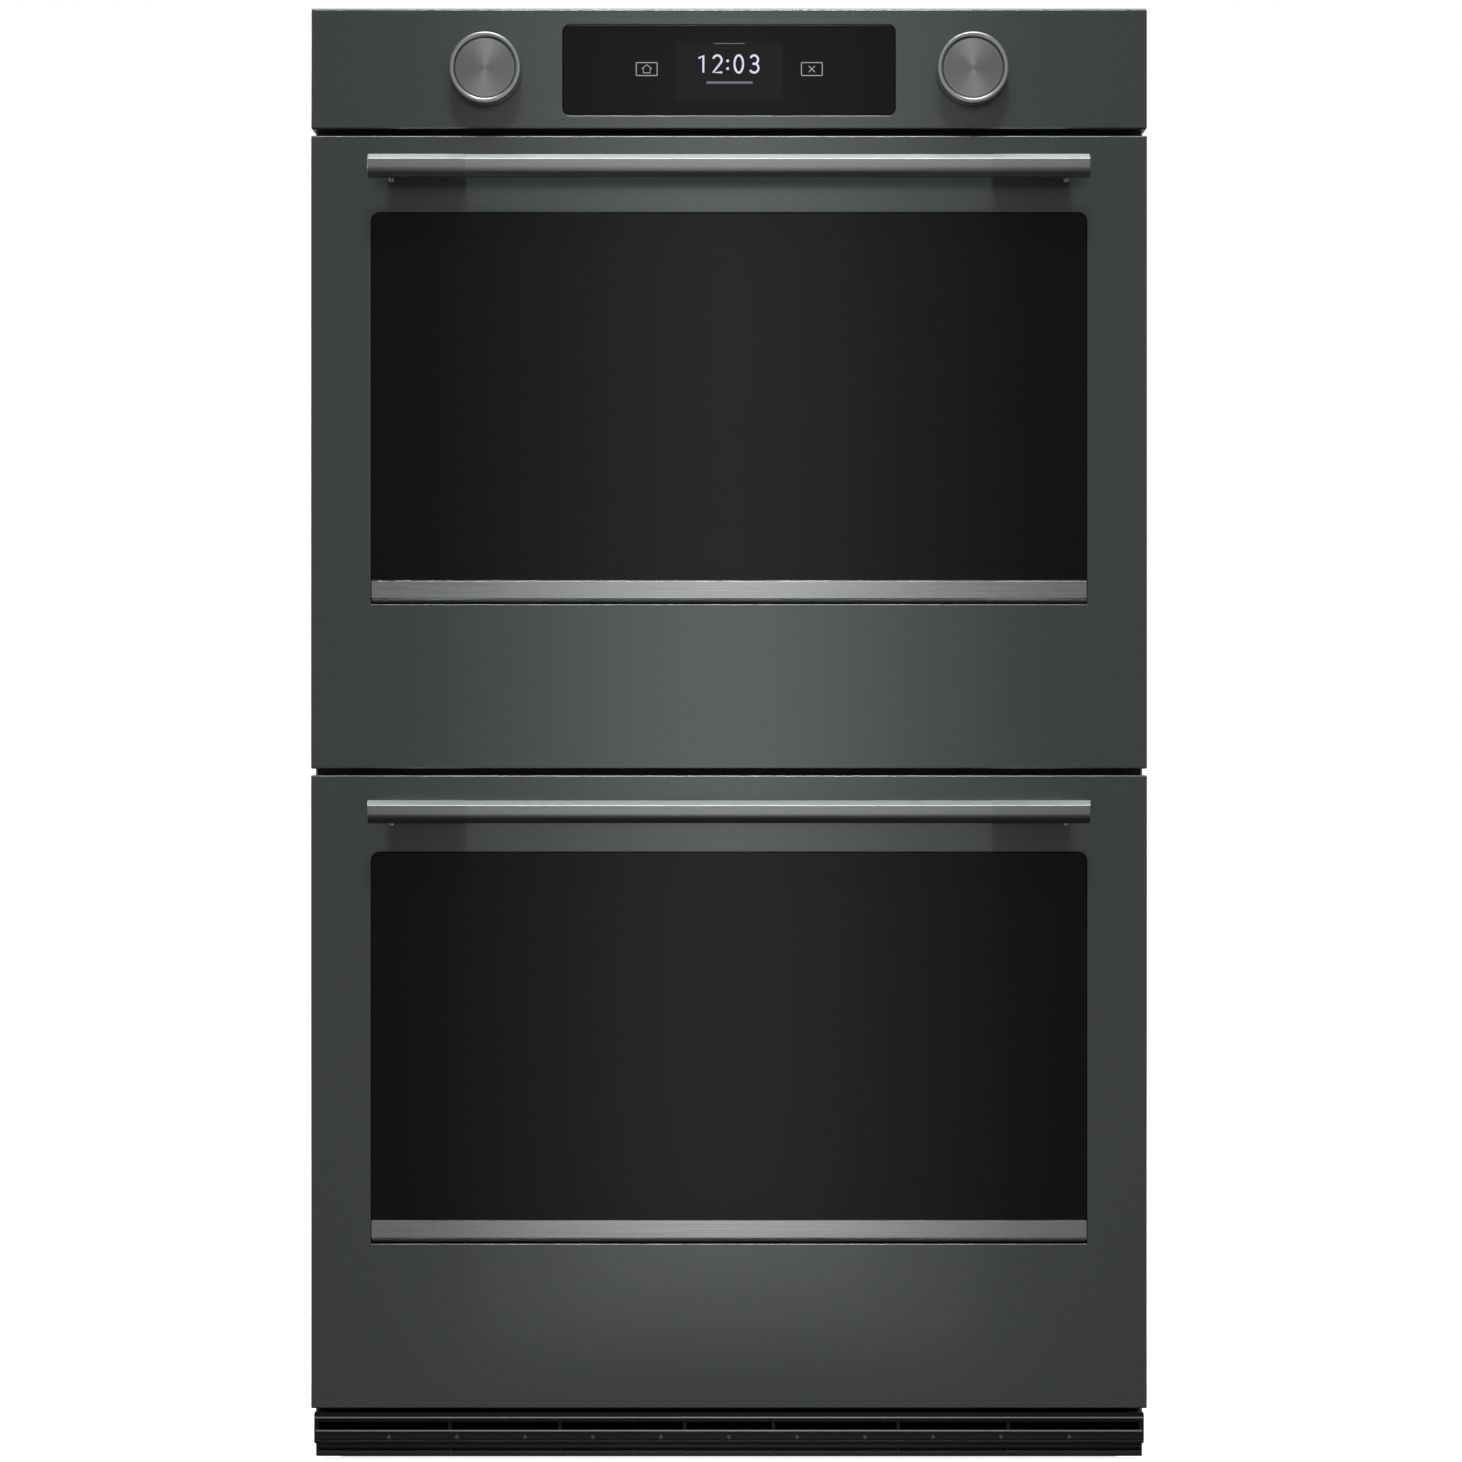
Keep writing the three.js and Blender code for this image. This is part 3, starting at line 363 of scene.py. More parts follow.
def add_noise(nodes, links, place, scale, detail=2.0):
    """Noise whose grain is 1 / scale metres long on each axis."""
    mapping = nodes.new("ShaderNodeMapping")
    mapping.inputs["Scale"].default_value = scale
    links.new(place, mapping.inputs["Vector"])
    noise = nodes.new("ShaderNodeTexNoise")
    noise.inputs["Scale"].default_value = 1.0
    noise.inputs["Detail"].default_value = detail
    links.new(mapping.outputs["Vector"], noise.inputs["Vector"])
    return noise.outputs["Fac"]


def spread(nodes, links, value, low, high, start=0.3, end=0.7):
    """Maps the useful middle of a noise to a range."""
    ramp = nodes.new("ShaderNodeMapRange")
    ramp.inputs["From Min"].default_value = start
    ramp.inputs["From Max"].default_value = end
    ramp.inputs["To Min"].default_value = low
    ramp.inputs["To Max"].default_value = high
    links.new(value, ramp.inputs["Value"])
    return ramp.outputs["Result"]


def tint(nodes, links, shader, value, dark, light):
    """Base colour between two tones."""
    mix = nodes.new("ShaderNodeMix")
    mix.data_type = "RGBA"
    mix.inputs[6].default_value = (*dark, 1)
    mix.inputs[7].default_value = (*light, 1)
    links.new(value, mix.inputs["Factor"])
    links.new(mix.outputs[2], shader.inputs["Base Color"])


def emboss(nodes, links, shader, value, depth, strength=1.0):
    """A bump that stands at most its depth in metres."""
    bump = nodes.new("ShaderNodeBump")
    bump.inputs["Distance"].default_value = depth
    bump.inputs["Strength"].default_value = strength
    links.new(value, bump.inputs["Height"])
    links.new(bump.outputs["Normal"], shader.inputs["Normal"])


def grained(name, color, roughness, metallic, grain, change=0.12, rough_change=0.06, depth=2e-5,
            speckle=(3, 3, 3), strength=0.4):
    """The common finish: a change of tone, and a grain in the roughness and the bump."""
    nodes, links, shader, place = new_finish(name, color, roughness, metallic)
    fine = add_noise(nodes, links, place, grain, 2.0)
    slow = add_noise(nodes, links, place, speckle, 3.0)
    dark = [c * (1 - change) for c in color]
    light = [c * (1 + change) for c in color]
    tint(nodes, links, shader, spread(nodes, links, slow, 0.0, 1.0), dark, light)
    links.new(spread(nodes, links, fine, roughness - rough_change, roughness + rough_change),
              shader.inputs["Roughness"])
    emboss(nodes, links, shader, fine, depth, strength)
    return shader


# %% The front's finishes
PAINT = (0.080, 0.0925, 0.0895)
paint = grained("front_paint", PAINT, 0.19, 0.40, (900, 900, 900), change=0.06, rough_change=0.012,
                depth=5e-6, speckle=(420, 420, 420))
paint.inputs["IOR"].default_value = 2.0
grained("handle_metal", (0.33, 0.35, 0.34), 0.40, 1.0, (700, 700, 700), change=0.03, rough_change=0.01,
        depth=1e-6)
grained("handle_grip", (0.37, 0.39, 0.38), 0.40, 1.0, (30, 1600, 1600), change=0.05, rough_change=0.02,
        depth=3e-6, speckle=(25, 1500, 1500))
grained("knob_rim", (0.43, 0.45, 0.44), 0.36, 1.0, (700, 700, 700), change=0.03, rough_change=0.01,
        depth=1e-6)
grained("bright_strip", (0.52, 0.54, 0.53), 0.25, 1.0, (12, 3500, 3500), change=0.06, rough_change=0.08,
        depth=1e-5, speckle=(10, 2500, 2500))
grained("vent_black", (0.010, 0.010, 0.010), 0.35, 0.0, (1300, 1300, 1300), change=0.2, depth=3e-5)
grained("vent_lip", (0.70, 0.71, 0.70), 0.38, 1.0, (900, 900, 900), change=0.1, depth=1e-5)
grained("vent_stud", (0.17, 0.17, 0.17), 0.45, 0.9, (900, 900, 900), change=0.1, depth=1e-5)
grained("glass_print", (0.0035, 0.0035, 0.0035), 0.5, 0.0, (700, 700, 700), change=0.2, depth=1e-5)
print(len(FINISH), "front finishes")


# %% Spun metal
SPUN_COLOR = (0.285, 0.30, 0.295)
RING_SCALE = 1500.0


def spun_finish(name, color, centre):
    """Metal turned on a lathe: its grain runs in rings, so highlights fan out from the middle."""
    nodes, links, shader, place = new_finish(name, color, 0.40, 1.0)
    shader.inputs["Anisotropic"].default_value = 0.42
    shader.inputs["Anisotropic Rotation"].default_value = 0.25
    move = nodes.new("ShaderNodeMapping")
    move.inputs["Location"].default_value = [-c for c in centre]
    links.new(place, move.inputs["Vector"])
    length = nodes.new("ShaderNodeVectorMath")
    length.operation = "LENGTH"
    links.new(move.outputs["Vector"], length.inputs[0])
    rings = nodes.new("ShaderNodeTexNoise")
    rings.noise_dimensions = "1D"
    rings.inputs["Scale"].default_value = RING_SCALE
    rings.inputs["Detail"].default_value = 3.0
    links.new(length.outputs["Value"], rings.inputs["W"])
    dark, light = [c * 0.85 for c in color], [c * 1.15 for c in color]
    tint(nodes, links, shader, spread(nodes, links, rings.outputs["Fac"], 0.0, 1.0), dark, light)
    emboss(nodes, links, shader, rings.outputs["Fac"], 6e-6, 0.3)
    cross = nodes.new("ShaderNodeVectorMath")
    cross.operation = "CROSS_PRODUCT"
    cross.inputs[1].default_value = (0, 1, 0)
    links.new(move.outputs["Vector"], cross.inputs[0])
    links.new(cross.outputs["Vector"], shader.inputs["Tangent"])


# %% Glass
def glass_finish(name, color, roughness, alpha, ior=1.5):
    """A pane that lets part of the light through, with a trace of wiping in its gloss."""
    nodes, links, shader, place = new_finish(name, color, roughness)
    shader.inputs["Alpha"].default_value = alpha
    shader.inputs["IOR"].default_value = ior
    wipe = add_noise(nodes, links, place, (14, 14, 5), 4.0)
    links.new(spread(nodes, links, wipe, roughness * 0.97, roughness * 1.03), shader.inputs["Roughness"])


glass_finish("door_glass", (0.002, 0.002, 0.002), 0.21, 0.70, 1.46)
glass_finish("inner_glass", (0.05, 0.055, 0.055), 0.06, 0.18)
glass_finish("display_glass", (0.003, 0.003, 0.003), 0.21, 1.0, 1.31)
glass_finish("lamp_glass", (0.75, 0.76, 0.74), 0.12, 0.55)


# %% Lit shapes on the display
def lit(name, color, strength, base=(0.01, 0.01, 0.01)):
    """A surface that glows by itself, a little unevenly as a lit display does."""
    nodes, links, shader, place = new_finish(name, base, 0.30)
    shader.inputs["IOR"].default_value = 1.25
    shader.inputs["Emission Color"].default_value = (*color, 1)
    glow = add_noise(nodes, links, place, (300, 300, 300), 1.0)
    links.new(spread(nodes, links, glow, strength * 0.96, strength * 1.04),
              shader.inputs["Emission Strength"])


lit("screen", (1, 1, 1), 0.0065, (0.007, 0.007, 0.007))
lit("lit_figure", (0.78, 0.78, 0.93), 0.92)
lit("dim_figure", (0.72, 0.70, 0.85), 0.22)
lit("key_figure", (0.8, 0.8, 0.8), 0.45)

# %% The finishes behind the front
grained("enamel", (0.016, 0.018, 0.026), 0.20, 0.0, (60, 60, 60), change=0.5, rough_change=0.05, depth=2e-4,
        strength=0.15, speckle=(900, 900, 900))
grained("sheet_steel", (0.48, 0.51, 0.53), 0.50, 0.9, (55, 55, 55), change=0.08, rough_change=0.05,
        depth=1e-5, speckle=(60, 60, 60))
grained("machined_steel", (0.45, 0.45, 0.45), 0.30, 1.0, (60, 2500, 2500), change=0.06, depth=1e-5)
grained("rack_wire", (0.62, 0.63, 0.64), 0.16, 1.0, (300, 300, 300), change=0.05, rough_change=0.05,
        depth=1e-5)
grained("heating_element", (0.055, 0.048, 0.045), 0.55, 0.4, (400, 400, 400), change=0.3, depth=4e-5)
grained("black_plastic", (0.015, 0.015, 0.016), 0.5, 0.0, (900, 900, 900), change=0.15, depth=4e-5)
grained("circuit_board", (0.012, 0.085, 0.035), 0.4, 0.0, (220, 220, 220), change=0.35, depth=5e-5,
        speckle=(120, 1, 90))
grained("door_seal", (0.055, 0.056, 0.056), 0.9, 0.0, (520, 520, 520), change=0.3, depth=6e-4, strength=0.8,
        speckle=(260, 260, 260))
print(len(FINISH), "finishes")

# %% Put the finishes on the CAD nodes that stay
slot_of = {row["node"]: row["material_slot"] for row in frame["record"]["subparts"]}
for node, thing in frame["nodes"].items():
    thing.data.materials.clear()
    thing.data.materials.append(FINISH[slot_of[node]])

# %% [markdown]
# ## Light and floor
# The front is lit as satin metal is lit in a studio. Three tall soft boxes, one inside the other, stand
# close in front, and their glows add up to a bright band that fades softly to both sides. One box would
# show a hard edge in the satin paint. An overhead box draws the top edges and the handles' upper faces, a
# far key gives the small shadows under the handles and knobs, and two boxes behind light the casing. A dim
# sky, darker below, fills the rest. The floor is pale.


# %% Soft boxes
def soft_box(name, place, aim, size, power):
    """A rectangular area light at a place, facing a point. No camera sees it."""
    data = bpy.data.lights.new(name, "AREA")
    data.shape = "RECTANGLE"
    data.size, data.size_y = size
    data.energy = power
    light = bpy.data.objects.new(name, data)
    light.location = place
    light.rotation_euler = (Vector(aim) - Vector(place)).to_track_quat("-Z", "Y").to_euler()
    light.visible_camera = False
    bpy.context.scene.collection.objects.link(light)


BAND_FRONT = -1.25
BAND_STEP = 0.01
BAND_GLOW = 0.245
GLOWS = ((0.13, 0.12, 1.42), (0.32, 0.05, 1.50), (0.54, 0.0, 1.58))  # width, lower end, upper end
for i, (width, low, high) in enumerate(GLOWS):
    middle = (low + high) / 2
    soft_box(f"band_{i}", (0, BAND_FRONT + BAND_STEP * i, middle), (0, 0, middle), (width, high - low),
             BAND_GLOW * math.pi * width * (high - low))
soft_box("overhead", (0, -1.2, 7.0), (0, -1.2, 0), (5.0, 5.8), 250)
soft_box("key", (0, -5.2, 6.0), (0, -0.345, 0.7), (1.2, 0.8), 210)
soft_box("back_right", (3.2, 3.4, 3.0), (0, 0, 0.7), (1.6, 1.6), 190)
soft_box("back_left", (-3.4, 1.4, 2.4), (0, 0, 0.7), (1.6, 1.6), 95)

# %% Sky and floor
scene = bpy.context.scene
scene.view_settings.view_transform = "Standard"
SKY_ABOVE = 0.20
SKY_BELOW = 0.03
SKY_FADE = (-0.55, -0.15)  # the heights of the looking direction between which the sky brightens
FLOOR_DROP = 0.5 * MM
FLOOR_GLOW = 0.86
world = bpy.data.worlds.new("sky")
scene.world = world
world.use_nodes = True
sky_nodes, sky_links = world.node_tree.nodes, world.node_tree.links
direction = sky_nodes.new("ShaderNodeTexCoord").outputs["Generated"]
height = sky_nodes.new("ShaderNodeSeparateXYZ")
sky_links.new(direction, height.inputs["Vector"])
fade = sky_nodes.new("ShaderNodeMapRange")
fade.inputs["From Min"].default_value = SKY_FADE[0]
fade.inputs["From Max"].default_value = SKY_FADE[1]
fade.inputs["To Min"].default_value = SKY_BELOW
fade.inputs["To Max"].default_value = SKY_ABOVE
sky_links.new(height.outputs["Z"], fade.inputs["Value"])
seen = sky_nodes.new("ShaderNodeLightPath")
brightness = sky_nodes.new("ShaderNodeMix")
sky_links.new(seen.outputs["Is Camera Ray"], brightness.inputs["Factor"])
sky_links.new(fade.outputs["Result"], brightness.inputs["A"])
brightness.inputs["B"].default_value = 1.0
sky_links.new(brightness.outputs["Result"], sky_nodes["Background"].inputs["Strength"])
sky_nodes["Background"].inputs["Color"].default_value = (1, 1, 1, 1)

floor_mesh = bmesh.new()
bmesh.ops.create_grid(floor_mesh, x_segments=1, y_segments=1, size=40.0,
                      matrix=Matrix.Translation((0, 0, -FLOOR_DROP)))
floor_data = bpy.data.meshes.new("floor")
floor_mesh.to_mesh(floor_data)
floor_mesh.free()
floor = bpy.data.objects.new("floor", floor_data)
scene.collection.objects.link(floor)
floor_shader = grained("floor", (0.8, 0.8, 0.8), 0.9, 0.0, (20, 20, 20), change=0.01)
floor_shader.inputs["Emission Color"].default_value = (1, 1, 1, 1)
floor_shader.inputs["Emission Strength"].default_value = FLOOR_GLOW
floor_data.materials.append(FINISH["floor"])
floor.visible_diffuse = False
floor.visible_glossy = False
print("studio ready")

# %% [markdown]
# ## Folded front panels
# The control panel and the door skins are one idea: a sheet with an opening, folded back on four sides.
# The face is filled between its outline and the opening's, the rims are drawn back from both, the folds
# are rolled to a small radius, and the sheet gets its thickness last. Flat faces with rolled edges need
# level normals, or the flats look pillowed, so every piece carries a weighted-normal finish.

# %% Fold a panel
PANEL_FOLD = 2.0 * MM
DOOR_FOLD = 1.2 * MM
OPENING_FOLD = 0.8 * MM
LIP = 3.0 * MM
WALL = 1.2 * MM


def folded_panel(low, high, opening_x, opening_z, radii, fold):
    """A pan open at its back, with a round-cornered opening in its front."""
    mesh = bmesh.new()
    outer = add_outline(mesh, (low.x, high.x), (low.z, high.z), low.y, (fold, fold))
    inner = add_outline(mesh, opening_x, opening_z, low.y, radii)
    bmesh.ops.bridge_loops(mesh, edges=outer + inner)
    pull(mesh, outer, (0, high.y - low.y, 0))
    pull(mesh, inner, (0, LIP, 0))
    clean(mesh)
    look(mesh, FORWARD)
    soften(mesh, outer, fold)
    soften(mesh, inner, OPENING_FOLD)
    return mesh


# %% Door skins and the control panel
GLASS_GAP = 0.5 * MM
FIT = 0.3 * MM
WINDOW_RADIUS = 8 * MM
WINDOW_FOOT = 0.4 * MM
NOTCH_HALF = 8 * MM
NOTCH_START = 5 * MM
HINGE_X = 300 * MM
DOOR_Z = {oven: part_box(f"{oven}_door_skin")[0].z for oven in OVENS}
for oven in OVENS:
    low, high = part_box(f"{oven}_door_skin")
    pane_low, pane_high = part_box(f"{oven}_outer_glass")
    strip_low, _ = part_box(f"{oven}_trim_strip")
    opening_x = (pane_low.x - GLASS_GAP, pane_high.x + GLASS_GAP)
    opening_z = (strip_low.z - FIT, pane_high.z + GLASS_GAP)
    skin = folded_panel(low, high, opening_x, opening_z, (WINDOW_FOOT, WINDOW_RADIUS), DOOR_FOLD)
    for side in (-1, 1):
        cut_away(skin, (side * HINGE_X - NOTCH_HALF, low.y + NOTCH_START, low.z - MM),
                 (side * HINGE_X + NOTCH_HALF, high.y + MM, low.z + MM))
    piece(f"{oven}_skin", thicken(skin, WALL), "front_paint", f"{oven}_door", replaces=[f"{oven}_door_skin"])

low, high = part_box("control_panel")
glass_low, glass_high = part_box("display_glass")
DISPLAY_RADIUS = 7 * MM
opening_x = (glass_low.x - FIT, glass_high.x + FIT)
opening_z = (glass_low.z - FIT, glass_high.z + FIT)
panel = folded_panel(low, high, opening_x, opening_z, (DISPLAY_RADIUS, DISPLAY_RADIUS), PANEL_FOLD)
piece("panel", thicken(panel, WALL), "front_paint", "chassis", replaces=["control_panel"])
print("front panels folded")

# %% [markdown]
# ## Panes and their black print
# The outer pane sits a millimetre back in the skin's window. Real oven glass has a black ceramic print
# round its border that hides the frame behind it. The print is a thin framed sheet just behind the pane.

# %% Outer and inner panes
PRINT_SIDE = 48 * MM
PRINT_TOP = 40 * MM
PRINT_BOTTOM = 9 * MM
PRINT_CORNER = 8 * MM
PANE_EDGE = 0.5 * MM
INNER_CORNER = 12 * MM
for oven in OVENS:
    low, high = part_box(f"{oven}_outer_glass")
    pane = thick_plate((low.x, high.x), (low.z, high.z), low.y, high.y - low.y,
                       (FIT, WINDOW_RADIUS - GLASS_GAP), PANE_EDGE)
    piece(f"{oven}_pane", pane, "door_glass", f"{oven}_door", replaces=[f"{oven}_outer_glass"])
    clear_x = (low.x + PRINT_SIDE, high.x - PRINT_SIDE)
    clear_z = (low.z + PRINT_BOTTOM, high.z - PRINT_TOP)
    border = sheet((low.x + MM, high.x - MM), (low.z + MM, high.z - MM), high.y + 0.2 * MM, PRINT_CORNER,
                   [(clear_x, clear_z, INNER_CORNER)])
    piece(f"{oven}_pane_print", thicken(border, 0.2 * MM), "glass_print", f"{oven}_door")
    low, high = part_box(f"{oven}_inner_glass")
    pane = thick_plate((low.x, high.x), (low.z, high.z), low.y, high.y - low.y,
                       (INNER_CORNER, INNER_CORNER), PANE_EDGE)
    piece(f"{oven}_inner_pane", pane, "inner_glass", f"{oven}_door", replaces=[f"{oven}_inner_glass"])
print("panes set")

# %% [markdown]
# ## Bright strip
# Under each pane lies a bar of brushed stainless steel with a 5 mm chamfer along its lower edge. A box gets
# that chamfer first and then a fine radius on every edge, so its ends and its top catch a thin light.

# %% Trim strips
STRIP_CHAMFER = 5 * MM
STRIP_EDGE = 0.4 * MM
for oven in OVENS:
    low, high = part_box(f"{oven}_trim_strip")
    strip = bmesh.new()
    add_box(strip, low, high)
    lower_front = [e for e in at(strip, 1, low.y) if all(abs(v.co.z - low.z) < 1e-7 for v in e.verts)]
    soften(strip, lower_front, STRIP_CHAMFER, 1)
    soften(strip, strip.edges[:], STRIP_EDGE, 2)
    piece(f"{oven}_strip", clean(strip), "bright_strip", f"{oven}_door", replaces=[f"{oven}_trim_strip"])
print("strips laid")

# %% [markdown]
# ## Handles
# A handle is an eight-sided bar: a middle grip brushed along its length, and a smoother sleeve at each end
# that stands a hair proud. Two wide blocks hold it off the door, and a small set screw shows under each one,
# near its outer end. The bar could be a round one with flats cut in it, but eight sides extruded along X
# give true flats at once. Its front face sits a little high, and the edge below it is rolled wide.


# %% Eight-sided bars
FACE_RAISE = 1.4 * MM
BELLY_DROP = 0.5 * MM
BELLY_ROLL = 3.4 * MM
BAR_EDGE = 0.5 * MM
FRONT_SHARE = 0.45
HALF_SIDE = math.radians(22.5)


def eight_sided(x, centre, across, ends):
    """An eight-sided bar along X with flats at its top and front, and chamfered ends."""
    mesh = bmesh.new()
    corner = across / 2 / math.cos(HALF_SIDE)
    place = Matrix.Translation((x[0], centre.y, centre.z)) @ facing((1, 0, 0))
    place = place @ Matrix.Rotation(HALF_SIDE, 4, "Z")
    bmesh.ops.create_circle(mesh, cap_ends=True, segments=8, radius=corner, matrix=place)
    made = bmesh.ops.extrude_face_region(mesh, geom=mesh.faces[:], use_keep_orig=True)["geom"]
    shift(mesh, made, (x[1] - x[0], 0, 0))
    clean(mesh)
    front_y = centre.y - across * FRONT_SHARE
    for vert in mesh.verts:
        if vert.co.y < front_y:
            vert.co.z += FACE_RAISE if vert.co.z > centre.z else -BELLY_DROP
    for belly, roll, segments in ((False, BAR_EDGE, 2), (True, BELLY_ROLL, 6)):
        long_edges = [e for e in mesh.edges if abs(e.verts[0].co.x - e.verts[1].co.x) > MM]
        soften(mesh, [e for e in long_edges if belly == all(v.co.y < front_y and v.co.z < centre.z
                                                            for v in e.verts)], roll, segments)
    for value, size in zip(x, ends):
        if size:
            soften(mesh, at(mesh, 0, value), size, 3)
    return clean(mesh)


SLEEVE = 88 * MM
SLEEVE_PROUD = 0.25 * MM
OUTER_END = 1.2 * MM
INNER_END = 0.3 * MM
for oven in OVENS:
    low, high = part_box(f"{oven}_handle_bar")
    centre = (low + high) / 2
    across = high.z - low.z
    inner = (low.x + SLEEVE, high.x - SLEEVE)
    grip = eight_sided((inner[0] - MM, inner[1] + MM), centre, across - 2 * SLEEVE_PROUD, (0, 0))
    piece(f"{oven}_grip", grip, "handle_grip", f"{oven}_door",
          replaces=[f"{oven}_handle_bar"], smooth_angle=30)
    for side, span, ends in zip(SIDES, ((low.x, inner[0]), (inner[1], high.x)),
                                ((OUTER_END, INNER_END), (INNER_END, OUTER_END))):
        sleeve = eight_sided(span, centre, across, ends)
        piece(f"{oven}_{side}_sleeve", sleeve, "handle_metal", f"{oven}_door", smooth_angle=30)

# %% Posts and their set screws
POST_EDGE = 2.5 * MM
SET_SCREW = 3.0 * MM
SCREW_INSET = 4.5 * MM
SCREW_BACK = 9 * MM
SCREW_LENGTH = 6.4 * MM
SOCKET_RISE = 5.3 * MM
DOWN = (0, 0, -1)
for oven in OVENS:
    for side in SIDES:
        low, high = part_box(f"{oven}_{side}_handle_post")
        post = bmesh.new()
        add_box(post, low, high, POST_EDGE, 3)
        piece(f"{oven}_{side}_post", clean(post), "handle_metal", f"{oven}_door",
              replaces=[f"{oven}_{side}_handle_post"])
        outer = low.x + SCREW_INSET if side == "left" else high.x - SCREW_INSET
        y = low.y + SCREW_BACK
        screw = bmesh.new()
        add_bar(screw, (outer, y, low.z + MM), DOWN, SET_SCREW, SCREW_LENGTH, 20, 0.6 * MM)
        add_bar(screw, (outer, y, low.z - SOCKET_RISE), DOWN, SET_SCREW * 0.45, 0.3 * MM, 6)
        piece(f"{oven}_{side}_set_screw", screw, "machined_steel", f"{oven}_door")
print("handles built")

# %% [markdown]
# ## Knobs
# A knob is turned on a lathe: a cup with a thin rim, and in its mouth a spun disc set back 2 mm. The disc
# is its own piece, because its grain runs in rings round its middle and gives the fan of light. A black ring
# on the panel behind the cup is partly a real seat and partly painted shade for the gap behind the knob.

# %% Turn the cup, the disc and the seat
CUP = ((25.0, -1.5), (25.0, -0.3), (25.4, 0), (31.6, 0), (32.2, -0.3), (32.5, -1.0), (32.5, -25.6),
       (32.3, -26.3), (31.8, -26.8), (31.1, -27.0), (29.4, -27.0), (28.6, -26.8), (28.0, -26.3),
       (27.6, -25.6), (27.5, -24.6), (27.5, -22.0), (25.0, -22.0), (25.0, -1.5))
DISC = ((0.01, -24.8), (26.4, -24.8), (27.0, -24.6), (27.2, -24.2), (27.2, -22.2), (0.01, -22.2))
SHADE_SEAT = (29 * MM, 1.0 * MM)  # radius and thickness
PANEL_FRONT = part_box("control_panel")[0].y
for side in SIDES:
    low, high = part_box(f"{side}_knob")
    middle = (low + high) / 2
    seat_at = Vector((middle.x, high.y, middle.z))
    cup = turned(CUP, seat_at, 128)
    piece(f"{side}_knob_cup", cup, "knob_rim", f"{side}_dial", replaces=[f"{side}_knob"])
    disc = turned(DISC, seat_at, 128)
    spun_finish(f"{side}_spun", SPUN_COLOR, (middle.x, low.y, middle.z))
    piece(f"{side}_knob_disc", disc, f"{side}_spun", f"{side}_dial")
    # A black ring behind the cup: partly a real seat, partly painted shade in the gap behind the knob.
    seat = bmesh.new()
    add_bar(seat, (middle.x, PANEL_FRONT + 0.2 * MM, middle.z), FORWARD, *SHADE_SEAT, 64, 0.4 * MM)
    piece(f"{side}_knob_shade_seat", seat, "black_plastic", "chassis")
print("knobs turned")

# %% [markdown]
# ## Display
# Behind the display glass sits a lit panel. From outside one sees a slightly lighter screen, a clock and
# two touch keys. A text object could give the clock, but its strokes differ from font to font, so each
# figure is drawn in strokes with the wire helper and pressed flat. The keys and their symbols are thin wires
# too. All of them stand a tenth of a millimetre proud of the glass, and glow.

# %% Glass and screen
low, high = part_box("display_glass")
GLASS_FRONT = low.y
DISPLAY_MID = (low + high) / 2
GLASS_EDGE = 0.7 * MM
glass = thick_plate((low.x, high.x), (low.z, high.z), low.y, high.y - low.y,
                    (DISPLAY_RADIUS - FIT, DISPLAY_RADIUS - FIT), GLASS_EDGE, 8)
piece("display_pane", glass, "display_glass", "chassis", replaces=["display_glass"])
SCREEN_HALF = (49 * MM, 26.5 * MM)
SCREEN_Z = DISPLAY_MID.z - 0.8 * MM
SCREEN_PROUD = 0.04 * MM
screen = thick_plate((-SCREEN_HALF[0], SCREEN_HALF[0]),
                     (SCREEN_Z - SCREEN_HALF[1], SCREEN_Z + SCREEN_HALF[1]),
                     GLASS_FRONT - SCREEN_PROUD, 0.3 * MM, (MM, MM), 0.02 * MM)
piece("screen", screen, "screen", "chassis")


# %% Clock figures
STROKE = 0.95 * MM
FIGURE_Y = GLASS_FRONT - 0.15 * MM
FLATTEN = 0.15


def bow(x, z, wide, tall, start, end, steps=16):
    """Points on an oval in the figure's own millimetres."""
    turns = [math.radians(start + (end - start) * i / steps) for i in range(steps + 1)]
    return [(x + wide * math.cos(a), z + tall * math.sin(a)) for a in turns]


# Each figure is drawn in strokes in a cell 10 wide and 18 tall.
FIGURES = {
    "1": ([(1.4, 14.6), (5.6, 17.4), (5.6, 0.4)],),
    "2": (bow(5.0, 12.9, 3.9, 4.6, 165, -32, 14) + [(1.1, 0.6), (9.4, 0.6)],),
    "0": (bow(5.0, 9.0, 3.9, 8.6, 0, 360, 32),),
    "3": (bow(4.9, 13.2, 3.6, 4.3, 155, -90, 14), bow(4.9, 4.9, 4.0, 4.5, 90, -155, 14),
          [(3.4, 9.2), (4.9, 9.2)]),
}
CLOCK_LOW = DISPLAY_MID.z - 2.9 * MM
SQUAT = 0.92
CELLS = (("1", -29.0), ("2", -15.6), ("0", 3.9), ("3", 18.0))
COLON = (-1.2, (4.4, 12.0), 1.3)  # its place across, its dots' heights, their radius
clock = bmesh.new()
for figure, left in CELLS:
    for stroke in FIGURES[figure]:
        points = [((left + x) * MM, FIGURE_Y, CLOCK_LOW + z * SQUAT * MM) for x, z in stroke]
        loop = points[0] == points[-1] or figure == "0"
        add_wire(clock, points[:-1] if loop else points, STROKE, 6, closed=loop)
for z in COLON[1]:
    add_bar(clock, (COLON[0] * MM, FIGURE_Y + 0.5 * MM, CLOCK_LOW + z * SQUAT * MM), FORWARD, COLON[2] * MM,
            MM, 16)
bmesh.ops.scale(clock, vec=(1, FLATTEN, 1), space=Matrix.Translation((0, -FIGURE_Y, 0)), verts=clock.verts)
piece("clock_figures", clean(clock), "lit_figure", "chassis")
LINE_X = 0.4
LINES = ((-11.6, 21.0, 1.1), (24.0, 14.0, 0.35))  # height above the middle, half length, half thickness
lines = bmesh.new()
for z, half, thick in LINES:
    add_box(lines, ((LINE_X - half) * MM, FIGURE_Y, DISPLAY_MID.z + (z - thick) * MM),
            ((LINE_X + half) * MM, FIGURE_Y + 0.05 * MM, DISPLAY_MID.z + (z + thick) * MM))
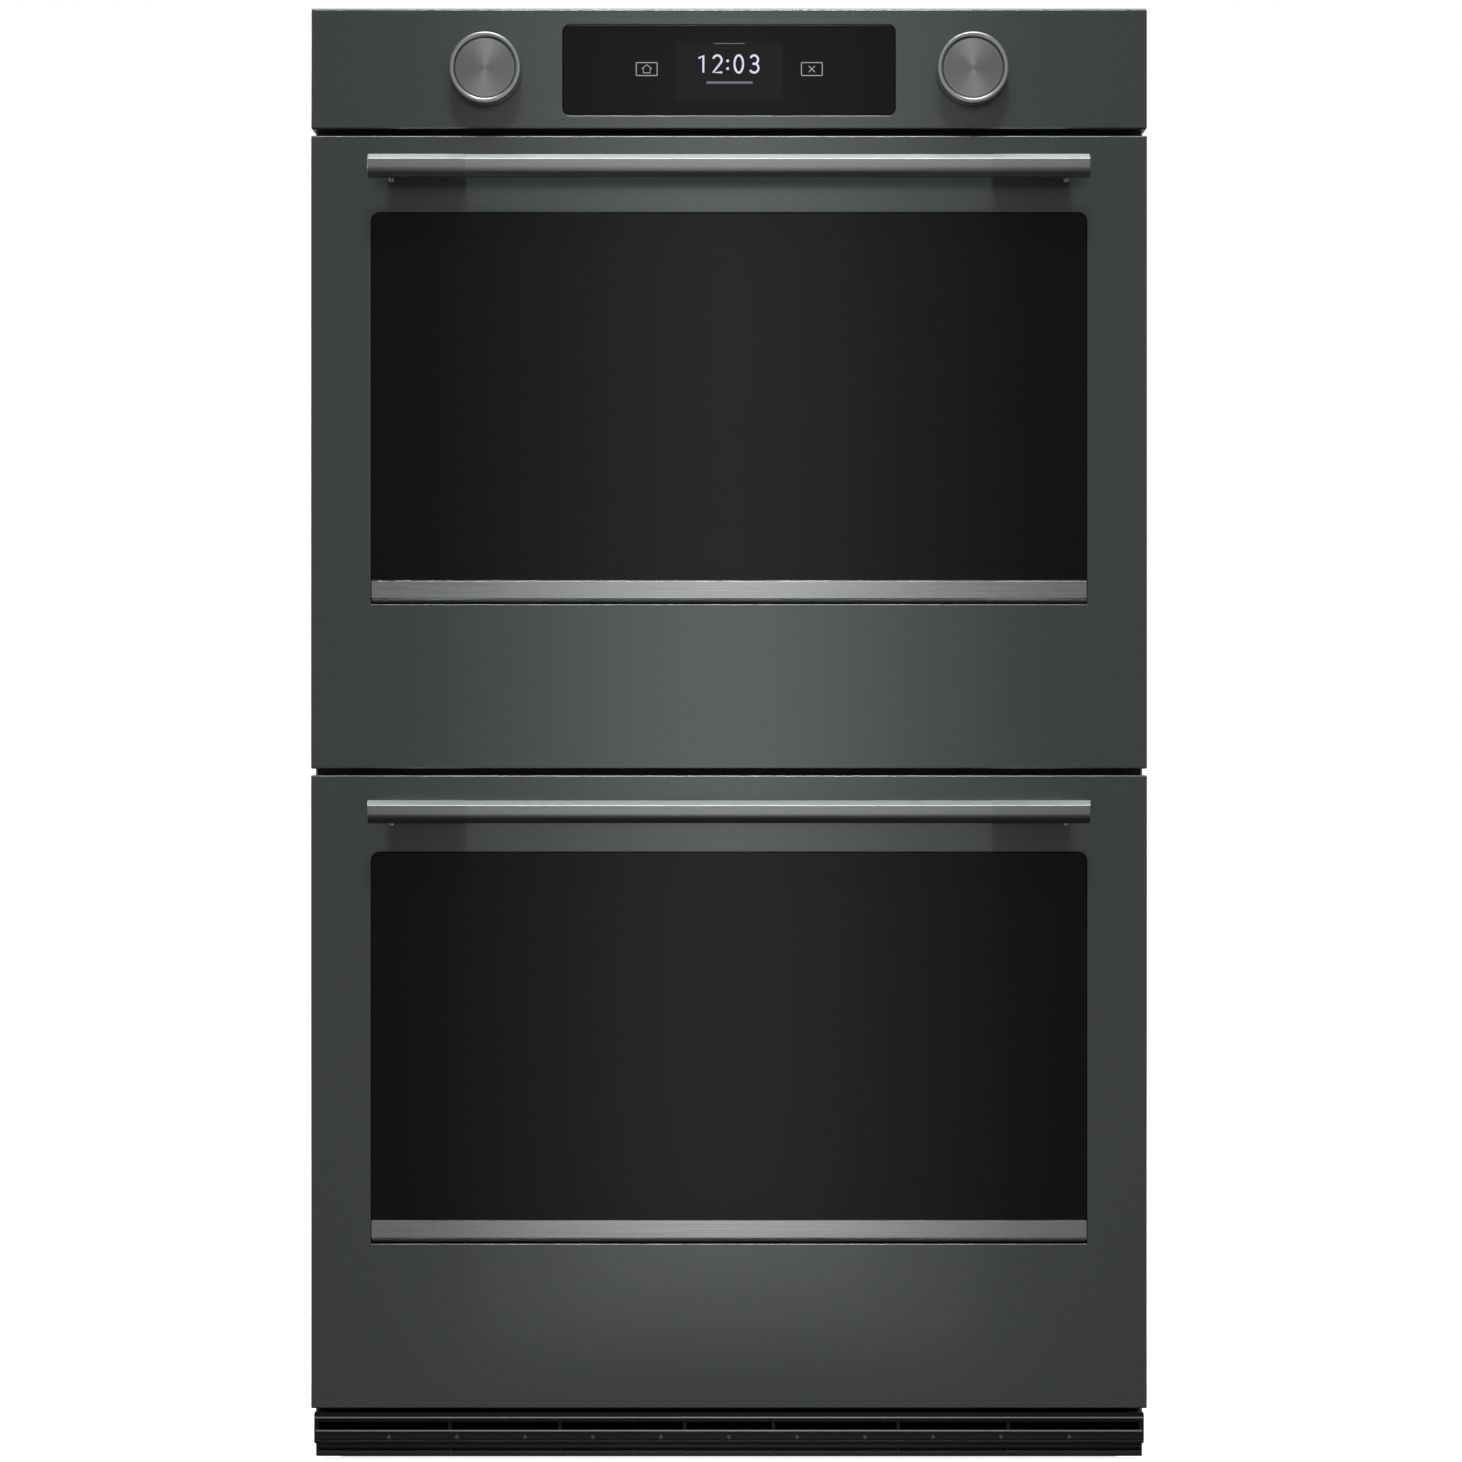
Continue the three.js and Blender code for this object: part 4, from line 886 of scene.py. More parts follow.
piece("screen_lines", lines, "dim_figure", "chassis")

# %% Touch keys
KEY_X = 75.5 * MM
KEY_Z = DISPLAY_MID.z + 0.7 * MM
KEY_SHIFT = 0.5 * MM  # the left key sits this much nearer the middle
KEY = (9.5 * MM, 5.9 * MM)  # half width and half height
KEY_CORNER = 0.7 * MM
KEY_STROKE = 0.42 * MM


def key_outline(mesh, x, strokes):
    """A touch key: a round-cornered frame with strokes inside it."""
    route = round_rectangle((x - KEY[0], x + KEY[0]), (KEY_Z - KEY[1], KEY_Z + KEY[1]), FIGURE_Y,
                            KEY_CORNER, steps=3)
    add_wire(mesh, route, KEY_STROKE, 6, closed=True)
    for line in strokes:
        add_wire(mesh, [(x + dx * MM, FIGURE_Y, KEY_Z + dz * MM) for dx, dz in line], KEY_STROKE, 6)


keys = bmesh.new()
HOUSE = ((-4.4, 0.3), (0, 4.0), (4.4, 0.3)), ((-3.2, 0.8), (-3.2, -3.4), (3.2, -3.4), (3.2, 0.8))
CROSS = ((-2.8, -2.8), (2.8, 2.8)), ((-2.8, 2.8), (2.8, -2.8))
key_outline(keys, -KEY_X + KEY_SHIFT, HOUSE)
key_outline(keys, KEY_X, CROSS)
piece("touch_keys", clean(keys), "key_figure", "chassis")
print("display lit")

# %% [markdown]
# ## Bottom vent
# The oven draws cooling air through a black grille under the lower door. From the top it has a bright lip,
# a long slot between short posts, a second lip, two bands with eleven studs, and a skirt of two slats. A row
# of tilted slats in front of a back plate keeps the slot dark. The face is one sheet filled round its slots,
# and the rest are long slim bars, which is how such a grille is pressed and riveted.

# %% Face with its slots
low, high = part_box("bottom_vent")
SLOT_Z = (27.0 * MM, 38.4 * MM)
SLOT_CORNER = 1.5 * MM
POSTS = [x * MM for x in (-377, -255.6, -155, -40.7, 40.7, 155, 255.6, 377)]
POST_HALF = 1.5 * MM
VENT_BOTTOM = 15 * MM
VENT_WALL = 1.5 * MM
slots = [((left + POST_HALF, right - POST_HALF), SLOT_Z, SLOT_CORNER)
         for left, right in zip(POSTS, POSTS[1:])]
face = sheet((low.x, high.x), (VENT_BOTTOM, high.z), low.y, SLOT_CORNER, slots)


def in_slots(vert):
    """Whether a point of the face lies on the rim of a slot."""
    return SLOT_Z[0] - 1e-6 < vert.co.z < SLOT_Z[1] + 1e-6 and abs(vert.co.x) < POSTS[-1] + POST_HALF / 3


outer_rim = [e for e in face.edges if len(e.link_faces) == 1 and not all(in_slots(v) for v in e.verts)]
pull(face, outer_rim, (0, high.y - low.y, 0))
clean(face)
look(face, FORWARD)
piece("vent_face", thicken(face, VENT_WALL), "vent_black", "chassis", replaces=["bottom_vent"])
print("vent face cut with", len(slots), "slots")

# %% Lips and bands
LIP_HALF = 0.9 * MM
LIPS = ((38.7 * MM, 0.0), (26.6 * MM, 1.5 * MM))  # height, and how much shorter at each end
# Each band: lower and upper height, front and back measured from the face, and its edges' radius.
VENT_BANDS = ((18.7, 25.5, -1.3, 0.5, 0.4), (16.3, 17.8, -1.3, 0.5, 0.4), (33.4, 38.0, -0.4, 7.5, 3.8))
lips = bmesh.new()
for z, shorter in LIPS:
    half = high.x - shorter
    add_box(lips, (-half, low.y - 1.2 * MM, z - LIP_HALF), (half, low.y + MM, z + LIP_HALF), 0.4 * MM, 2)
piece("vent_lips", clean(lips), "vent_lip", "chassis")
bands = bmesh.new()
for low_z, high_z, front, back, radius in VENT_BANDS:
    add_box(bands, (-high.x + 0.5 * MM, low.y + front * MM, low_z * MM),
            (high.x - 0.5 * MM, low.y + back * MM, high_z * MM), radius * MM, 4)
piece("vent_bands", clean(bands), "vent_black", "chassis")

# %% Studs
STUDS = 11
STUD_PITCH = 62.3 * MM
STUD_Z = 20.9 * MM
STUD = (2.1 * MM, 0.9 * MM)  # radius and height
studs = bmesh.new()
for i in range(STUDS):
    place = ((i - (STUDS - 1) / 2) * STUD_PITCH, low.y - 1.1 * MM, STUD_Z)
    add_bar(studs, place, FORWARD, *STUD, 16, 0.6 * MM)
piece("vent_rivets", studs, "vent_stud", "chassis")


# %% Slats of the skirt and of the baffle
def add_slat(mesh, half_size, radius, segments, place, tilt):
    """A long box about the origin, tilted about X and then moved to its place."""
    slat = bmesh.new()
    add_box(slat, -Vector(half_size), half_size, radius, segments)
    turn(slat, Matrix.Translation(place) @ Matrix.Rotation(math.radians(tilt), 4, "X"))
    holder = bpy.data.meshes.new("slat")
    slat.to_mesh(holder)
    slat.free()
    mesh.from_mesh(holder)
    bpy.data.meshes.remove(holder)


SKIRT_Y = -314.5 * MM
SKIRT_SLATS = (5.4 * MM, 12.1 * MM)
SKIRT_HALF = (377 * MM, 0.8 * MM, 2.1 * MM)
SKIRT_TILT = -8
SKIRT_BACK = -299.5 * MM
louvres = bmesh.new()
for z in SKIRT_SLATS:
    add_slat(louvres, SKIRT_HALF, 0.6 * MM, 3, (0, SKIRT_Y, z), SKIRT_TILT)
add_box(louvres, (-SKIRT_HALF[0], SKIRT_BACK, MM), (SKIRT_HALF[0], high.y, VENT_BOTTOM + MM), 0.3 * MM, 1)
for x in POSTS:
    add_box(louvres, (x - 1.2 * MM, SKIRT_Y + 0.5 * MM, 3.4 * MM),
            (x + 1.2 * MM, SKIRT_BACK + 2.5 * MM, VENT_BOTTOM), 0.3 * MM, 1)
piece("vent_louvres", clean(louvres), "vent_black", "chassis")

BAFFLE_Y = -306.5 * MM
BAFFLE_HALF = (376 * MM, 7 * MM, 0.6 * MM)
BAFFLE_SLATS = 4
BAFFLE_LOW = 29.5 * MM
BAFFLE_PITCH = 4.2 * MM
BAFFLE_TILT = -50
baffle = bmesh.new()
for i in range(BAFFLE_SLATS):
    add_slat(baffle, BAFFLE_HALF, 0.3 * MM, 2, (0, BAFFLE_Y, BAFFLE_LOW + BAFFLE_PITCH * i), BAFFLE_TILT)
add_box(baffle, (-378 * MM, -298.9 * MM, 16.6 * MM), (378 * MM, -296.9 * MM, 43 * MM), 0.3 * MM, 1)
piece("vent_baffle", clean(baffle), "vent_black", "chassis")
print("vent built")

# %% [markdown]
# ## Black strips behind the gaps
# From the front the 6 mm gaps round the doors look black. A black rubber strip lies behind each: partly the
# dark trim of a real oven, partly painted shade for the deep gaps. The strips are slim, so that a door's
# lower edge swings clear of them.

# %% Gap strips
STRIP_FRONT = -298.6 * MM
STRIP_BACK = -296.25 * MM
STRIP_HALF = 378.5 * MM
SHADE_STRIPS = (("top", 1203, 1226), ("middle", 620, 640), ("bottom", 44, 58))
# Each strip is black plastic that also stands in, as painted shade, for the shade deep in its gap.
for name, low_z, high_z in SHADE_STRIPS:
    strip = bmesh.new()
    add_box(strip, (-STRIP_HALF, STRIP_FRONT, low_z * MM), (STRIP_HALF, STRIP_BACK, high_z * MM),
            0.6 * MM, 2)
    piece(f"{name}_gap_shade_strip", clean(strip), "black_plastic", "chassis")
print("gaps closed")

# %% [markdown]
# ## Door liners
# The inner side of a door is one enamelled pressing: a flat pan with a folded rim, and a raised middle that
# plugs the oven's mouth, with the inner window in it. Loops from the rim inwards are bridged one after the
# other, each step gets its radius, and the hinge notches and the latch slot are cut before the wall is made.

# %% Press the liners
PLUG_X = 300 * MM
PLUG_DEPTH = 14 * MM
PLUG_DRAFT = 5 * MM
PLUG_Z = (114 * MM, 528 * MM)  # above the door's lower edge
RIM_DEPTH = 12 * MM
PANE_LAP = 6 * MM
LATCH_HOLE = (12 * MM, 4 * MM)
NOTCH_TOP = 33 * MM


def pane_window(oven):
    """The inner window's opening, which laps over its pane."""
    low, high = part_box(f"{oven}_inner_glass")
    return (low.x + PANE_LAP, high.x - PANE_LAP), (low.z + PANE_LAP, high.z - PANE_LAP)


def middle_of(node):
    """The middle of a node's box."""
    low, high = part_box(node)
    return (low + high) / 2


for oven in OVENS:
    low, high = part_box(f"{oven}_door_liner")
    flat_y = high.y - PLUG_DEPTH
    rim_y = flat_y - RIM_DEPTH
    plug_z = [DOOR_Z[oven] + z for z in PLUG_Z]
    window_x, window_z = pane_window(oven)
    liner = bmesh.new()
    outline = add_outline(liner, (low.x, high.x), (low.z, high.z), flat_y, (6 * MM, 6 * MM))
    foot = add_outline(liner, (-PLUG_X, PLUG_X), plug_z, flat_y, (16 * MM, 16 * MM))
    top = add_outline(liner, (-PLUG_X + PLUG_DRAFT, PLUG_X - PLUG_DRAFT),
                      (plug_z[0] + PLUG_DRAFT, plug_z[1] - PLUG_DRAFT), high.y, (INNER_CORNER, INNER_CORNER))
    mouth = add_outline(liner, window_x, window_z, high.y, (INNER_CORNER, INNER_CORNER))
    for near, far in ((outline, foot), (foot, top), (top, mouth)):
        bmesh.ops.bridge_loops(liner, edges=near + far)
    pull(liner, outline, (0, rim_y - flat_y, 0))
    pull(liner, mouth, (0, -3 * MM, 0))
    clean(liner)
    look(liner, BACKWARD)
    soften(liner, top, 3 * MM)
    soften(liner, foot, 2.5 * MM)
    soften(liner, outline, 2 * MM)
    soften(liner, mouth, MM, 2)
    latch_z = middle_of(f"{oven}_latch").z
    cut_away(liner, (-LATCH_HOLE[0], flat_y - MM, latch_z - LATCH_HOLE[1]),
             (LATCH_HOLE[0], flat_y + MM, latch_z + LATCH_HOLE[1]))
    for side in (-1, 1):
        cut_away(liner, (side * HINGE_X - NOTCH_HALF, rim_y - MM, low.z - MM),
                 (side * HINGE_X + NOTCH_HALF, flat_y + MM, DOOR_Z[oven] + NOTCH_TOP))
    piece(f"{oven}_liner", thicken(liner, WALL), "enamel", f"{oven}_door", replaces=[f"{oven}_door_liner"])
print("liners pressed")

# %% Hinge ears, liner screws and the inner pane's frame
PIVOT_RISE = 24 * MM
PIVOT_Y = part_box("lower_door_skin")[0].y + 14 * MM
EAR_HALF = 10 * MM
EAR_GAP = 5 * MM
EAR_WALL = 2 * MM
SMALL_SCREW = 3.2 * MM
LINER_SCREW_X = 352 * MM
LINER_SCREWS = (45, 180, 330, 480, 555)
TOP_SCREWS = ((-180, 556), (180, 556))
SEAL_BACK = 2.2 * MM
ALONG_X = (1, 0, 0)
for oven in OVENS:
    low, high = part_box(f"{oven}_door_liner")
    flat_y = high.y - PLUG_DEPTH
    z = DOOR_Z[oven] + PIVOT_RISE
    ears = bmesh.new()
    screws = bmesh.new()
    heads = [(x * MM, rise) for x, rise in TOP_SCREWS]
    for side in (-1, 1):
        heads += [(side * LINER_SCREW_X, rise) for rise in LINER_SCREWS]
        for face in (-1, 1):
            x = side * HINGE_X + mirrored(face, EAR_GAP, EAR_GAP + EAR_WALL)[0]
            add_box(ears, (x, PIVOT_Y, z - EAR_HALF), (x + EAR_WALL, flat_y - 0.5 * MM, z + EAR_HALF),
                    0.4 * MM)
            add_bar(ears, (x, PIVOT_Y, z), ALONG_X, EAR_HALF, EAR_WALL, 32, 0.3 * MM)
    for x, rise in heads:
        add_screw(screws, (x, flat_y, DOOR_Z[oven] + rise * MM), BACKWARD, SMALL_SCREW)
    piece(f"{oven}_hinge_ears", ears, "machined_steel", f"{oven}_door")
    piece(f"{oven}_liner_screws", screws, "machined_steel", f"{oven}_door")
    bead = bmesh.new()
    route = round_rectangle(*pane_window(oven), high.y - SEAL_BACK, INNER_CORNER)
    add_wire(bead, route, 1.3 * MM, 8, closed=True)
    piece(f"{oven}_pane_seal", bead, "black_plastic", f"{oven}_door")
print("liners fitted")

# %% [markdown]
# ## Cavities
# An oven's cavity is drawn and enamelled: a flange with a rolled mouth, straight walls, and round corners at
# the back. The mouth's outline is drawn back in one step and capped, its back edges get a big radius, and
# the shelf ribs are long bars with rolled edges that grow out of the side walls.

# %% Draw the cavities
CAVITY_X = 311 * MM
MOUTH_RADIUS = 14 * MM
RIB_DEPTH = 12 * MM
RIB_TALL = 12 * MM
RIB_TOPS = (161, 239, 317, 395, 473)
RIB_Y = (-264.2 * MM, 195.8 * MM)
OVEN_FLOOR = 103 * MM
OVEN_CEILING = 539 * MM
BACK_RADIUS = 12 * MM
LATCH_SLOT = (11 * MM, 3 * MM)
ARM_SLOT = (5 * MM, 9 * MM)
for oven in OVENS:
    low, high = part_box(f"{oven}_cavity")
    inside_z = (DOOR_Z[oven] + OVEN_FLOOR, DOOR_Z[oven] + OVEN_CEILING)
    back_y = high.y - WALL
    cavity = bmesh.new()
    outline = add_outline(cavity, (low.x, high.x), (low.z, high.z), low.y, (3 * MM, 3 * MM))
    mouth = add_outline(cavity, (-CAVITY_X, CAVITY_X), inside_z, low.y, (MOUTH_RADIUS, MOUTH_RADIUS))
    bmesh.ops.bridge_loops(cavity, edges=outline + mouth)
    end = pull(cavity, mouth, (0, back_y - low.y, 0))
    bmesh.ops.contextual_create(cavity, geom=end)
    clean(cavity)
    look(cavity, FORWARD, max(cavity.faces, key=lambda f: f.calc_center_median().y))
    soften(cavity, at(cavity, 1, back_y), BACK_RADIUS, 4)
    soften(cavity, mouth, 3 * MM)
    hinge_z = DOOR_Z[oven] + PIVOT_RISE
    cuts = [(0, middle_of(f"{oven}_latch").z, LATCH_SLOT)]
    cuts += [(side * HINGE_X, hinge_z, ARM_SLOT) for side in (-1, 1)]
    for x, z, (half_x, half_z) in cuts:
        cut_away(cavity, (x - half_x, low.y - MM, z - half_z), (x + half_x, low.y + MM, z + half_z))
    thicken(cavity, WALL)
    for side in (-1, 1):
        x = mirrored(side, CAVITY_X + 2 * MM, CAVITY_X - RIB_DEPTH)
        for top_z in RIB_TOPS:
            z = DOOR_Z[oven] + top_z * MM
            add_box(cavity, (x[0], RIB_Y[0], z - RIB_TALL), (x[1], RIB_Y[1], z), 3.5 * MM, 3)
    piece(f"{oven}_oven_cavity", cavity, "enamel", "chassis", replaces=[f"{oven}_cavity"])
print("cavities drawn")

# %% [markdown]
# ## Racks, elements and seals: things made of wire and tube
# A rack is bent and welded wire: a closed frame, fourteen cross wires laid on it and a stay under them. The
# heating elements are steel tubes bent to and fro. The seal is a woven cord clipped round the mouth.

# %% Racks
FRAME_WIRE = 3.0 * MM
CROSS_WIRE = 1.6 * MM
STAY_WIRE = 2.0 * MM
WIRES = 14
RACK_CORNER = 14 * MM
FLAT = ((1, 0, 0), (0, 1, 0))
UPRIGHT_PLANE = ((1, 0, 0), (0, 0, 1))


def rack(low, high, top):
    """A rack inside a box, with its frame's top at a height."""
    mesh = bmesh.new()
    z = top - FRAME_WIRE
    x = (low.x + FRAME_WIRE, high.x - FRAME_WIRE)
    y = (low.y + FRAME_WIRE, high.y - FRAME_WIRE)
    route = [Vector((p.x, p.y, z)) for p in round_rectangle(x, y, 0, RACK_CORNER, FLAT, 6)]
    add_wire(mesh, route, FRAME_WIRE, 14, closed=True)
    pitch = (x[1] - x[0]) / (WIRES + 1)
    level = z + FRAME_WIRE - CROSS_WIRE
    for i in range(WIRES):
        at_x = x[0] + (i + 1) * pitch
        ends = (low.y + 0.4 * MM, 0, high.y - 0.4 * MM)
        add_wire(mesh, [(at_x, at_y, level) for at_y in ends], CROSS_WIRE, 10)
    stay_y = (y[0] + y[1]) / 2
    add_wire(mesh, [(at_x, stay_y, z - MM) for at_x in (x[0], 0, x[1])], STAY_WIRE, 10)
    return mesh


PULL_X = 284 * MM
PULL_BEND = 12 * MM
for oven in OVENS:
    low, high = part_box(f"{oven}_high_rack")
    piece(f"{oven}_upper_rack", rack(low, high, high.z), "rack_wire", f"{oven}_high_shelf",
          replaces=[f"{oven}_high_rack"])
    low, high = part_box(f"{oven}_low_rack")
    lower_rack = rack(low, high, high.z)
    front_y = low.y + FRAME_WIRE
    bend_z = low.z + FRAME_WIRE + PULL_BEND
    top_z = high.z - FRAME_WIRE
    route = [Vector((-PULL_X, front_y, top_z))]
    for x, start in ((-PULL_X + PULL_BEND, 180), (PULL_X - PULL_BEND, 270)):
        route += arc((x, front_y, bend_z), PULL_BEND, start, start + 90, UPRIGHT_PLANE)
    route.append(Vector((PULL_X, front_y, top_z)))
    add_wire(lower_rack, route, FRAME_WIRE, 14)
    piece(f"{oven}_lower_rack", lower_rack, "rack_wire", f"{oven}_low_shelf", replaces=[f"{oven}_low_rack"])
print("racks welded")


# %% Heating elements
TUBE = 4 * MM
BROIL = (6, 135.8 * MM)  # how many runs, and where their rear bends end
BAKE = (4, 155.8 * MM)
HANGER_Y = (-140 * MM, 40 * MM)
HANGER_X = (-215 * MM, 0.0, 215 * MM)
HANGER_REACH = 220 * MM


def element_route(low, high, runs, bends_end):
    """A tube laid in equal runs, with both tails leaving towards the back."""
    x = high.x - TUBE
    z = (low.z + high.z) / 2
    pitch = 2 * x / (runs - 1)
    front = low.y + TUBE + pitch / 2
    rear = bends_end - pitch / 2
    route = [Vector((-x, high.y, z)), Vector((-x, (rear + high.y) / 2, z))]
    for run in range(runs - 1):
        forward = run % 2 == 0
        centre = (-x + (run + 0.5) * pitch, front if forward else rear, z)
        turns = (180, 360) if forward else (180, 0)
        route += arc(centre, pitch / 2, *turns, FLAT, 8)
    return route + [Vector((x, (rear + high.y) / 2, z)), Vector((x, high.y, z))]


for oven in OVENS:
    low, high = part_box(f"{oven}_broil_element")
    broil = bmesh.new()
    add_wire(broil, element_route(low, high, *BROIL), TUBE, 12)
    piece(f"{oven}_grill_tube", broil, "heating_element", "chassis", replaces=[f"{oven}_broil_element"])
    hangers = bmesh.new()
    ceiling = DOOR_Z[oven] + OVEN_CEILING
    for y in HANGER_Y:
        add_box(hangers, (-HANGER_REACH, y - MM, low.z - 1.5 * MM), (HANGER_REACH, y + MM, low.z + 0.3 * MM),
                0.5 * MM)
        for x in HANGER_X:
            add_box(hangers, (x - 4 * MM, y - MM, low.z - MM), (x + 4 * MM, y + MM, ceiling + MM), 0.5 * MM)
    piece(f"{oven}_grill_hangers", hangers, "machined_steel", "chassis")
    low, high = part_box(f"{oven}_bake_element")
    bake = bmesh.new()
    add_wire(bake, element_route(low, high, *BAKE), TUBE, 12)
    piece(f"{oven}_bake_tube", bake, "heating_element", "chassis", replaces=[f"{oven}_bake_element"])

# %% Door seals
SEAL = 4.1 * MM
SEAL_INSET = 5 * MM
SEAL_CORNER = 12 * MM
for oven in OVENS:
    low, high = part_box(f"{oven}_gasket")
    seal = bmesh.new()
    route = round_rectangle((low.x + SEAL_INSET, high.x - SEAL_INSET),
                            (low.z + SEAL_INSET, high.z - SEAL_INSET), (low.y + high.y) / 2, SEAL_CORNER,
                            steps=8)
    add_wire(seal, route, SEAL, 16, closed=True)
    piece(f"{oven}_door_cord", seal, "door_seal", "chassis", replaces=[f"{oven}_gasket"])
print("elements and seals laid")

# %% [markdown]
# ## Fan covers and lamps
# At the back of each oven a shallow cover with a round field of slots hides the convection fan, and a lamp
# shines through a domed glass. The cover is a filled sheet with its rim drawn back and rolled. The lens is
# turned, and so is its steel ring.

# %% Fan covers
FIELD = 74 * MM
SLOT_PITCH = 13 * MM
SLOT_HALF = 2.8 * MM
SLOT_ROWS = range(-5, 6)
SIDE_SLOT_X = (112 * MM, 122 * MM)
SIDE_SLOT_HALF = 8 * MM
SIDE_SLOT_PITCH = 24 * MM
SIDE_SLOT_ROWS = range(-3, 4)
COVER_CORNER = 16 * MM
COVER_FOLD = 5 * MM
COVER_SCREW = (122 * MM, 93 * MM)


def near_rim(vert, high, middle):
    """Whether a point of the cover lies on its outer rim, and not on a slot's."""
    reach = COVER_CORNER + MM
    return abs(vert.co.x) > high.x - reach or abs(vert.co.z - middle.z) > high.z - middle.z - reach


for oven in OVENS:
    low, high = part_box(f"{oven}_fan_cover")
    middle = (low + high) / 2
    holes = []
    for row in SLOT_ROWS:
        half = math.sqrt(FIELD ** 2 - (row * SLOT_PITCH) ** 2)
        z = middle.z + row * SLOT_PITCH
        for a, b in ((-half, -3 * MM), (3 * MM, half)):
            holes.append(((a, b), (z - SLOT_HALF, z + SLOT_HALF), 2.6 * MM))
    for side in (-1, 1):
        for row in SIDE_SLOT_ROWS:
            z = middle.z + row * SIDE_SLOT_PITCH
            holes.append((mirrored(side, *SIDE_SLOT_X), (z - SIDE_SLOT_HALF, z + SIDE_SLOT_HALF), 3 * MM))
    cover = sheet((low.x, high.x), (low.z, high.z), low.y, COVER_CORNER, holes)
    rim = [e for e in cover.edges
           if len(e.link_faces) == 1 and all(near_rim(v, high, middle) for v in e.verts)]
    pull(cover, rim, (0, high.y - low.y, 0))
    clean(cover)
    look(cover, FORWARD)
    soften(cover, rim, COVER_FOLD, 4)
    thicken(cover, WALL)
    for x in (-COVER_SCREW[0], COVER_SCREW[0]):
        for z in (middle.z - COVER_SCREW[1], middle.z + COVER_SCREW[1]):
            add_bar(cover, (x, low.y + 0.2 * MM, z), FORWARD, 4 * MM, 2 * MM, 16, MM)
    piece(f"{oven}_fan_shield", cover, "enamel", "chassis", replaces=[f"{oven}_fan_cover"])

# %% Lamps
LENS = ((0.01, 0), (8, 0.2), (15, 0.9), (20, 2.2), (23.5, 4.2), (25, 6.5), (25, 11.7), (0.01, 11.7))
RING = ((24.6, 11.7), (24.6, 6.0), (25.4, 5.0), (26.8, 5.0), (28, 6.0), (28, 11.7), (24.6, 11.7))
LENS_RADIUS = 28 * MM
SOCKET_BACK = 25 * MM
SOCKET = (21 * MM, 24 * MM)  # radius and length
for oven in OVENS:
    low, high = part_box(f"{oven}_lamp")
    centre = (low.x + LENS_RADIUS, low.y, high.z - LENS_RADIUS)
    lens = turned(LENS, centre, 48)
    piece(f"{oven}_lamp_lens", lens, "lamp_glass", "chassis", replaces=[f"{oven}_lamp"])
    ring = turned(RING, centre, 48)
    socket_at = Vector(centre) + Vector((0, SOCKET_BACK, 0))
    add_bar(ring, socket_at, BACKWARD, *SOCKET, 32, 2 * MM)
    piece(f"{oven}_lamp_ring", ring, "machined_steel", "chassis")
print("fan covers and lamps set")

# %% [markdown]
# ## Hinges and latches
# A fixed arm reaches out of the frame at each side and carries the pin on which the door turns. A latch bolt
# slides through the flange when the oven cleans itself. Both are thick steel with broken edges.

# %% Hinge arms and latches
ARM_HALF = 8 * MM
ARM_WALL = 4 * MM  # half the arm's thickness
PIN = 4 * MM
ARM_RIVETS = (-285 * MM, -265 * MM)
ARM_RIVET = (3 * MM, 1.4 * MM)  # radius and height
BOLT_HALF = (10 * MM, 2 * MM)
BOLT_BLOCK = 20 * MM
for oven in OVENS:
    for side in SIDES:
        low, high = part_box(f"{oven}_{side}_hinge_arm")
        middle = (low + high) / 2
        arm = bmesh.new()
        add_box(arm, (middle.x - ARM_WALL, PIVOT_Y, middle.z - ARM_HALF),
                (middle.x + ARM_WALL, high.y, middle.z + ARM_HALF), MM, 3)
        add_bar(arm, (middle.x - ARM_WALL, PIVOT_Y, middle.z), ALONG_X, ARM_HALF, 2 * ARM_WALL, 40, 0.8 * MM)
        add_bar(arm, (low.x, PIVOT_Y, middle.z), ALONG_X, PIN, high.x - low.x, 24, 0.6 * MM)
        for y in ARM_RIVETS:
            for way in (1, -1):
                add_bar(arm, (middle.x + way * 3.9 * MM, y, middle.z), (way, 0, 0), *ARM_RIVET, 16, 0.6 * MM)
        piece(f"{oven}_{side}_arm", arm, "machined_steel", "chassis", replaces=[f"{oven}_{side}_hinge_arm"])
    low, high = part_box(f"{oven}_latch")
    middle = (low + high) / 2
    bolt = bmesh.new()
    add_box(bolt, (-BOLT_HALF[0], low.y, middle.z - BOLT_HALF[1]),
            (BOLT_HALF[0], high.y, middle.z + BOLT_HALF[1]), 0.8 * MM, 3)
    add_box(bolt, (low.x, high.y - BOLT_BLOCK, low.z), (high.x, high.y, high.z), 1.5 * MM, 3)
    add_bar(bolt, (0, high.y - 10 * MM, high.z - MM), (0, 0, 1), 4 * MM, 1.6 * MM, 20, 0.5 * MM)
    piece(f"{oven}_latch_bolt", bolt, "machined_steel", f"{oven}_lock", replaces=[f"{oven}_latch"])
print("hinges and latches made")

# %% [markdown]
# ## Chassis
# The chassis is galvanised sheet. Flat sheet drums and buckles, so the big faces carry pressed beads, and
# the rims are folded and screwed. Each sheet is filled round its holes and bead outlines, the beads are
# pressed with a few small insets, and then the sheet is turned into its place and thickened.

# %% Rear panel
low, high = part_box("rear_panel")
GLAND_MID = middle_of("junction_box")
GLAND_Z = GLAND_MID.z
GLAND_X = GLAND_MID.x
GLAND_RADIUS = 14.3 * MM
FAN_RISE = 321 * MM
LOUVRE_PITCH = 40 * MM
BEAD_END = 9.5 * MM


def span(middle, half):
    """The low and high place of a width about its middle, both in millimetres."""
    return (middle - half) * MM, (middle + half) * MM


